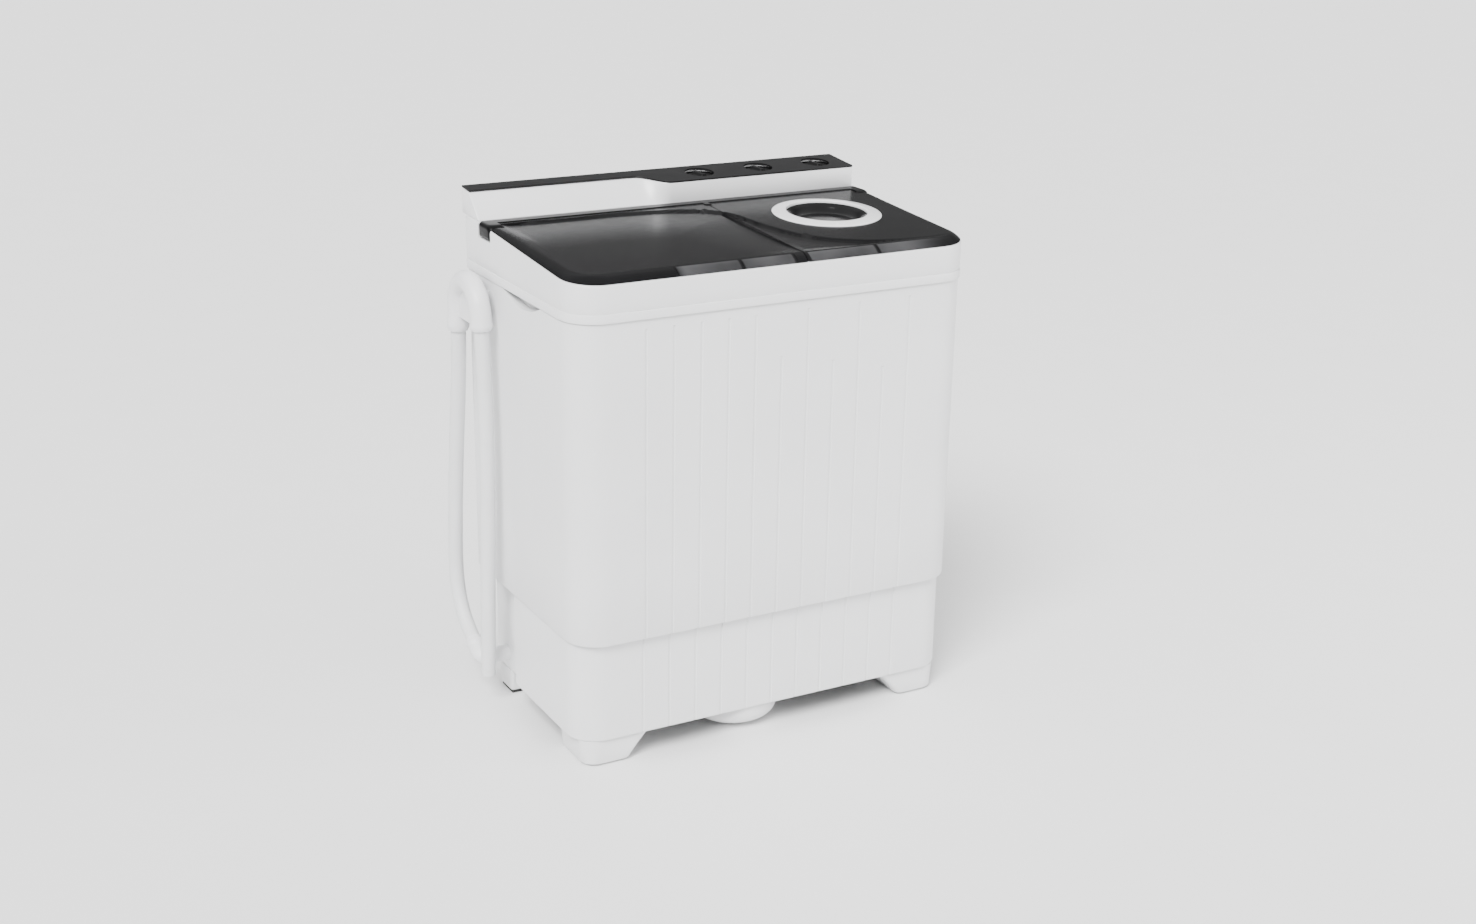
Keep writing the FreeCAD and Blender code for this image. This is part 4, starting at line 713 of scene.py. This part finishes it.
HINGE_Y, HINGE_Z, BARREL_RADIUS, PIN_RADIUS, PIN_LENGTH = 0.105, 0.747, 0.0036, 0.0025, 0.0044
for name, body, x0, x1 in (("wash_lid_barrel", "wash_lid_assembly", -0.3024, 0.0349),
                           ("spin_lid_barrel", "spin_lid_assembly", 0.0451, 0.3024)):
    stations = [(x0 - PIN_LENGTH, PIN_RADIUS), (x0, PIN_RADIUS), (x0, BARREL_RADIUS), (x1, BARREL_RADIUS),
                (x1, PIN_RADIUS), (x1 + PIN_LENGTH, PIN_RADIUS)]
    turn = np.linspace(0, 2 * np.pi, 24, endpoint=False)
    barrel = np.stack([np.stack([np.full(24, x), HINGE_Y + r * np.cos(turn), HINGE_Z + r * np.sin(turn)], -1)
                       for x, r in stations])
    dressed(grid_mesh(name, barrel, caps=(True, True)), black_finish, body, "smoked_lid")

# ---- spin lid ring and window: a white moulded ring clipped on the lid round a dark dished window
ring_level = float(lid_plane(SPIN_CENTRE[1]))
ring_spot = (*SPIN_CENTRE, ring_level)
ring_finish = moulded("ring_white", (0.82, 0.82, 0.825), (0.80, 0.80, 0.805), 0.25, 900, 0.00004,
                      Coat_Weight=0.3, Coat_Roughness=0.1)
ring_profile = [(0.0620, 0.0001), (0.0620, 0.0028), (0.0625, 0.0036), (0.0635, 0.0040), (0.0660, 0.0039),
                (0.0720, 0.0031), (0.0800, 0.0019), (0.0830, 0.0013), (0.0839, 0.0006), (0.0839, 0.0001)]
ring = lathed("spin_lid_ring_moulding", ring_profile, ring_spot, tilt=LID_SLOPE, wrap=True,
              caps=(False, False))
dressed(ring, ring_finish, "spin_lid_assembly", "white_ring", "spin_lid_ring")
window_finish = moulded("window_smoked", (0.003, 0.003, 0.0032), (0.006, 0.006, 0.0064), 0.10, 900, 0.00002,
                        Specular_IOR_Level=0.2)
window_profile = [(0.0005, -0.016), (0.051, -0.016), (0.0635, -0.004), (0.0697, -0.004), (0.0697, 0),
                  (0.0612, 0), (0.0600, -0.0008), (0.0560, -0.0055), (0.0525, -0.0100), (0.0495, -0.0124),
                  (0.046, -0.013), (0.0005, -0.0122)]
window = lathed("spin_lid_window_dish", window_profile, ring_spot, tilt=LID_SLOPE)
dressed(window, window_finish, "spin_lid_assembly", "smoked_window", "spin_lid_window")

# ---- console: white ridge behind the lids whose front swings in an S from a slope to upright, under a
# black top plate with three round wells for the knobs
CONSOLE_SIDE, CONSOLE_LOW, CONSOLE_BACK, PLATE = 0.320, 0.749, 0.205, 0.0025
SLOPE_FOOT, SLOPE_HEAD, UPRIGHT, CURVE_LEFT, CURVE_RIGHT = 0.140, 0.178, 0.133, -0.052, -0.004
CONSOLE_HEIGHT, CONSOLE_RISE, CORNER_PULL = 0.784, 0.007, 0.28


def console_top(y):
    """The console's top: a plane that rises a little towards the back."""
    return CONSOLE_HEIGHT + (y - UPRIGHT) * CONSOLE_RISE / (CONSOLE_BACK - UPRIGHT)


def console_grid(low, high_drop, edge, stations):
    """Loops (y, z) along x: foot and head of the front wall move from the slope to upright by a half
    cosine between the two ends of the curve. Each corner is eased by edge. With no low level the loop is
    the top plate alone, one plate thick."""
    loops = []
    for x, shrink in stations:
        along = float(np.clip((x - CURVE_LEFT) / (CURVE_RIGHT - CURVE_LEFT), 0, 1))
        share = 0.5 - 0.5 * math.cos(math.pi * along)
        foot = SLOPE_FOOT + (UPRIGHT - SLOPE_FOOT) * share
        head = SLOPE_HEAD + (UPRIGHT - SLOPE_HEAD) * share
        top_front, top_back = console_top(head) - high_drop, console_top(CONSOLE_BACK) - high_drop
        if low is None:
            slope = (head - foot) / (top_front - CONSOLE_LOW)
            corners = [(head - slope * PLATE, top_front - PLATE), (head, top_front), (CONSOLE_BACK, top_back),
                       (CONSOLE_BACK, top_back - PLATE)]
        else:
            corners = [(foot, low), (head, top_front), (CONSOLE_BACK, top_back), (CONSOLE_BACK, low)]
        corners = np.array(corners)
        before, after = np.roll(corners, 1, 0), np.roll(corners, -1, 0)

        def toward(other):
            return (other - corners) / np.linalg.norm(other - corners, axis=1)[:, None]

        rounding = (toward(before) + toward(after)) * edge * CORNER_PULL
        eased = np.stack([corners + toward(before) * edge, corners + rounding,
                          corners + toward(after) * edge], 1).reshape(-1, 2)
        middle = eased.mean(0)
        reach = np.abs(eased - middle).max(0)
        eased = middle + (eased - middle) * (1 - shrink / reach)
        loops.append(np.concatenate([np.full((len(eased), 1), x), eased], -1))
    return np.stack(loops)


def console_stations(side, edge):
    """The (x, shrink) of each loop: eased ends, and close loops along the curve."""
    between = np.concatenate([[-side + edge, -0.2, -0.1, -0.06], np.linspace(CURVE_LEFT, CURVE_RIGHT, 25),
                              [0.01, 0.1, 0.2, side - edge]])
    return [(-side, edge), (-side + edge * 0.3, edge * 0.3)] + [(x, 0) for x in between] + [
        (side - edge * 0.3, edge * 0.3), (side, edge)]


ridge_grid = console_grid(CONSOLE_LOW, PLATE, 0.002, console_stations(CONSOLE_SIDE, 0.002))
console = grid_mesh("console_ridge", ridge_grid, caps=(True, True), crease=50)
KNOB_XS, KNOB_Y, WELL_RADIUS, KNOB_LOW = (0.060, 0.165, 0.270), 0.168, 0.023, 0.7795
WELL_FLOOR, WELL_WALL, WELL_HEIGHT, STEM_HOLE = 0.0025, 0.0018, 0.0048, 0.0036
knob_spots = [(x, KNOB_Y) for x in KNOB_XS]


def bored(piece, radius, low):
    """Cuts an upright round hole through a piece at each knob, from a low level up."""
    for x, y in knob_spots:
        cut_away(piece, lathed("cutter", [(radius, low), (radius, 0.80)], (x, y, 0), turns=64), 40)


bored(console, WELL_RADIUS + 0.002, KNOB_LOW - WELL_FLOOR)
dressed(console, white_finish, "cabinet", "white_shell", "console_housing")
plate_grid = console_grid(None, 0, 0.0006, console_stations(CONSOLE_SIDE, 0.0008))
fascia = grid_mesh("console_top_plate", plate_grid, caps=(True, True), crease=50)
bored(fascia, WELL_RADIUS, KNOB_LOW - 0.0006)
fascia_finish = moulded("console_black", (0.010, 0.010, 0.0105), (0.014, 0.014, 0.0145), 0.34, 900, 0.00006,
                        Specular_IOR_Level=0.08)
dressed(fascia, fascia_finish, "cabinet", "black_trim", "console_fascia")
cup_finish = moulded("well_black", (0.004, 0.004, 0.0042), (0.007, 0.007, 0.0073), 0.4, 900, 0.00006,
                     Specular_IOR_Level=0.15)
cup = [(STEM_HOLE, -WELL_FLOOR), (WELL_RADIUS + WELL_WALL, -WELL_FLOOR),
       (WELL_RADIUS + WELL_WALL, WELL_HEIGHT), (WELL_RADIUS, WELL_HEIGHT), (WELL_RADIUS, -0.0004),
       (WELL_RADIUS - 0.0004, -0.0006), (STEM_HOLE, -0.0006)]
for number, (x, y) in enumerate(knob_spots):
    dressed(lathed(f"console_well_{number}", cup, (x, y, KNOB_LOW), turns=64, wrap=True, caps=(False, False)),
            cup_finish, "cabinet", "black_trim")

# ---- knobs: black moulded dials sunk in their wells, each a round skirt under a narrow finger grip with a
# faint grey pointer line
knob_finish = Finish("knob_black", 0.36, Specular_IOR_Level=0.08)
knob_place = knob_finish.add("ShaderNodeUVMap", uv_map="dial")
dial_u = knob_finish.add("ShaderNodeSeparateXYZ", {0: knob_place}, output=0)
dial_v = Wire(knob_finish, dial_u.socket.node.outputs[1])
pointer = 1 - knob_finish.step(knob_finish.distance(dial_u, 0.5), 0.018, 0.026)
pointer = pointer * knob_finish.step(dial_v, 0.62, 0.64) * (1 - knob_finish.step(dial_v, 0.90, 0.92))
knob_clouds = knob_finish.mixed(knob_finish.noise(30), (0.005, 0.005, 0.0052), (0.009, 0.009, 0.0094))
knob_finish.drive("Base Color", knob_finish.mixed(pointer, knob_clouds, (0.045, 0.045, 0.046)))
knob_finish.relief(knob_finish.noise(1100, 2), 0.00005)
KNOB_RADIUS, SKIRT_HEIGHT, SKIRT_EASE, GRIP_RISE, KNOB_TURNS = 0.020, 0.0036, 0.0012, 0.0038, 128
KNOB_GRIP_HALF, KNOB_GRIP_EASE, KNOB_GRIP_END = 0.0062, 0.0040, 0.0172
knob_rows = np.concatenate([[0.0005], np.linspace(0.001, KNOB_RADIUS, 34)])
for dial_name, (x, y) in zip(("wash_timer", "wash_selector", "spin_timer"), knob_spots):
    turn = np.linspace(0, 2 * np.pi, KNOB_TURNS, endpoint=False)
    across, along = knob_rows[:, None] * np.sin(turn), knob_rows[:, None] * np.cos(turn)
    ridge = np.clip((KNOB_GRIP_HALF - np.abs(across)) / KNOB_GRIP_EASE, 0, 1) * np.clip(
        (KNOB_GRIP_END - knob_rows) / 0.001, 0, 1)[:, None]
    ridge = ridge * ridge * (3 - 2 * ridge)
    rounding = np.clip((knob_rows[:, None] - KNOB_RADIUS + 0.0014) / 0.0014, 0, 1) ** 2
    height = SKIRT_HEIGHT + GRIP_RISE * ridge - SKIRT_EASE * rounding
    top_skin = np.stack([x + across, y + along, KNOB_LOW + height], -1)
    foot = np.stack([x + KNOB_RADIUS * np.sin(turn), y + KNOB_RADIUS * np.cos(turn),
                     np.full(KNOB_TURNS, KNOB_LOW)], -1)
    knob = grid_mesh(f"{dial_name}_dial_knob", np.concatenate([top_skin, foot[None]]), caps=(True, True))
    dial = knob.data.uv_layers.new(name="dial")
    spots = np.empty(len(knob.data.vertices) * 3)
    knob.data.vertices.foreach_get("co", spots)
    corners = np.empty(len(knob.data.loops), int)
    knob.data.loops.foreach_get("vertex_index", corners)
    flat = spots.reshape(-1, 3)[corners, :2]
    dial.data.foreach_set("uv", ((flat - (x, y)) / (2 * KNOB_RADIUS) + 0.5).ravel())
    dressed(knob, knob_finish, f"{dial_name}_dial", "black_knob", f"{dial_name}_knob")

# ---- feet: two wedge-shaped moulded front feet and two short legs at the back, all on dark rubber pads
foot_finish = moulded("foot_white", (0.80, 0.80, 0.805), (0.76, 0.765, 0.77), 0.4, 520, 0.0001)
FOOT_OUTER, FOOT_DRAFT, PAD_TOP, FOOT_CORNER_OUTER, FOOT_CORNER_INNER = 0.305, 0.003, 0.003, 0.022, 0.008
for name, node, side in (("front_foot_left", "foot_front_left", -1),
                         ("front_foot_right", "foot_front_right", 1)):
    low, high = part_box(node)
    rows = [(0.235, 0.0024, PAD_TOP), (0.2345, 0.0008, 0.0036), (0.233, 0, 0.005), (0.2205, 0, 0.021),
            (0.202, 0, high.z)]
    front_corners = [FOOT_CORNER_OUTER, FOOT_CORNER_INNER][::-side]
    foot_loops = []
    for inner, thin, z in rows:
        outer = FOOT_OUTER + FOOT_DRAFT * (z - PAD_TOP) / (high.z - PAD_TOP)
        x0, x1 = sorted((side * (outer - thin), side * (inner + thin)))
        plan = plan_loop(x0, x1, low.y + thin, high.y - thin,
                         [*front_corners, FOOT_CORNER_INNER, FOOT_CORNER_INNER])
        foot_loops.append(lifted(plan, z))
    dressed(grid_mesh(name, np.stack(foot_loops), caps=(True, True)), foot_finish, "cabinet", "white_foot",
            node)
for name, node in (("rear_leg_left", "foot_rear_left"), ("rear_leg_right", "foot_rear_right")):
    low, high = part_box(node)
    dressed(soft_box(name, low.x, high.x, low.y, high.y, low.z, high.z, 0.006, 0.0015), foot_finish,
            "cabinet", "white_foot", node)

# ---- pump cover: a shallow white bowl that shields the drain pump under the front edge
pump_low, pump_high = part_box("pump_cover")
pump_middle = ((pump_low.x + pump_high.x) / 2, (pump_low.y + pump_high.y) / 2, 0)
BOWL_FLAT, BOWL_FLARE, BOWL_RISE = 0.046, 0.024, 0.022
arc = np.linspace(0, np.pi / 2, 12)
bowl = np.stack([BOWL_FLAT + BOWL_FLARE * np.sin(arc), pump_low.z + BOWL_RISE - BOWL_RISE * np.cos(arc)], -1)
bowl_profile = np.concatenate([[(0.0005, pump_low.z)], bowl, [(BOWL_FLAT + BOWL_FLARE, pump_high.z),
                               (BOWL_FLAT + BOWL_FLARE - WALL, pump_high.z)],
                               bowl[::-1] - [WALL, -WALL], [(0.0005, pump_low.z + WALL)]])
dressed(lathed("pump_cover_bowl", bowl_profile, pump_middle), foot_finish, "cabinet", "white_shell",
        "pump_cover")

# ---- the pieces that keep their own shape: tubs, drive, brake, drain, switches and fastenings
tub_finish = moulded("tub_polypropylene", (0.74, 0.755, 0.76), (0.70, 0.715, 0.725), 0.34, 420, 0.00008)
drive_finish = moulded("drive_nylon", (0.10, 0.10, 0.105), (0.14, 0.14, 0.145), 0.5, 420, 0.0001)
rubber_finish = moulded("rubber_black", (0.018, 0.018, 0.018), (0.03, 0.03, 0.03), 0.72, 650, 0.00015)
motor_finish = moulded("motor_enamel", (0.16, 0.17, 0.18), (0.20, 0.21, 0.22), 0.42, 260, 0.00012)


def metal(name, pale, deep, roughness):
    """Rolled steel: a fine streaked grain along x, and patches of duller metal."""
    finish = Finish(name, roughness, Metallic=1.0)
    stretched = finish.add("ShaderNodeMapping", {"Vector": finish.place, "Scale": (0.05, 1, 1)})
    streak = finish.noise(500, 4, stretched)
    finish.drive("Base Color", finish.mixed(finish.noise(30, 4), pale, deep))
    finish.drive("Roughness", streak * 0.2 + (roughness - 0.1))
    finish.relief(streak, 0.00003)
    return finish


steel_finish = metal("steel_bright", (0.62, 0.62, 0.63), (0.52, 0.52, 0.53), 0.3)
zinc_finish = metal("steel_zinc", (0.55, 0.56, 0.58), (0.44, 0.45, 0.47), 0.42)
slot_finishes = {
    "white_shell": white_finish, "white_foot": foot_finish, "white_ring": ring_finish,
    "smoked_lid": lid_finish, "smoked_window": window_finish, "black_trim": black_finish,
    "black_knob": knob_finish, "tub_plastic": tub_finish, "drive_plastic": drive_finish,
    "hose_plastic": hose_finish, "guide_plastic": guide_finish, "rubber": rubber_finish,
    "steel": steel_finish, "zinc_steel": zinc_finish, "motor_paint": motor_finish,
}
slot_of = {part["node"]: part["material_slot"] for part in frame["record"]["subparts"]}
for name, node in frame["nodes"].items():
    finish = slot_finishes[slot_of[name]]
    node.data.materials.clear()
    node.data.materials.append(finish.material)

floor_finish = moulded("studio_floor", (0.86, 0.86, 0.86), (0.85, 0.85, 0.85), 0.7, 60, 0.0)
floor.data.materials.append(floor_finish.material)
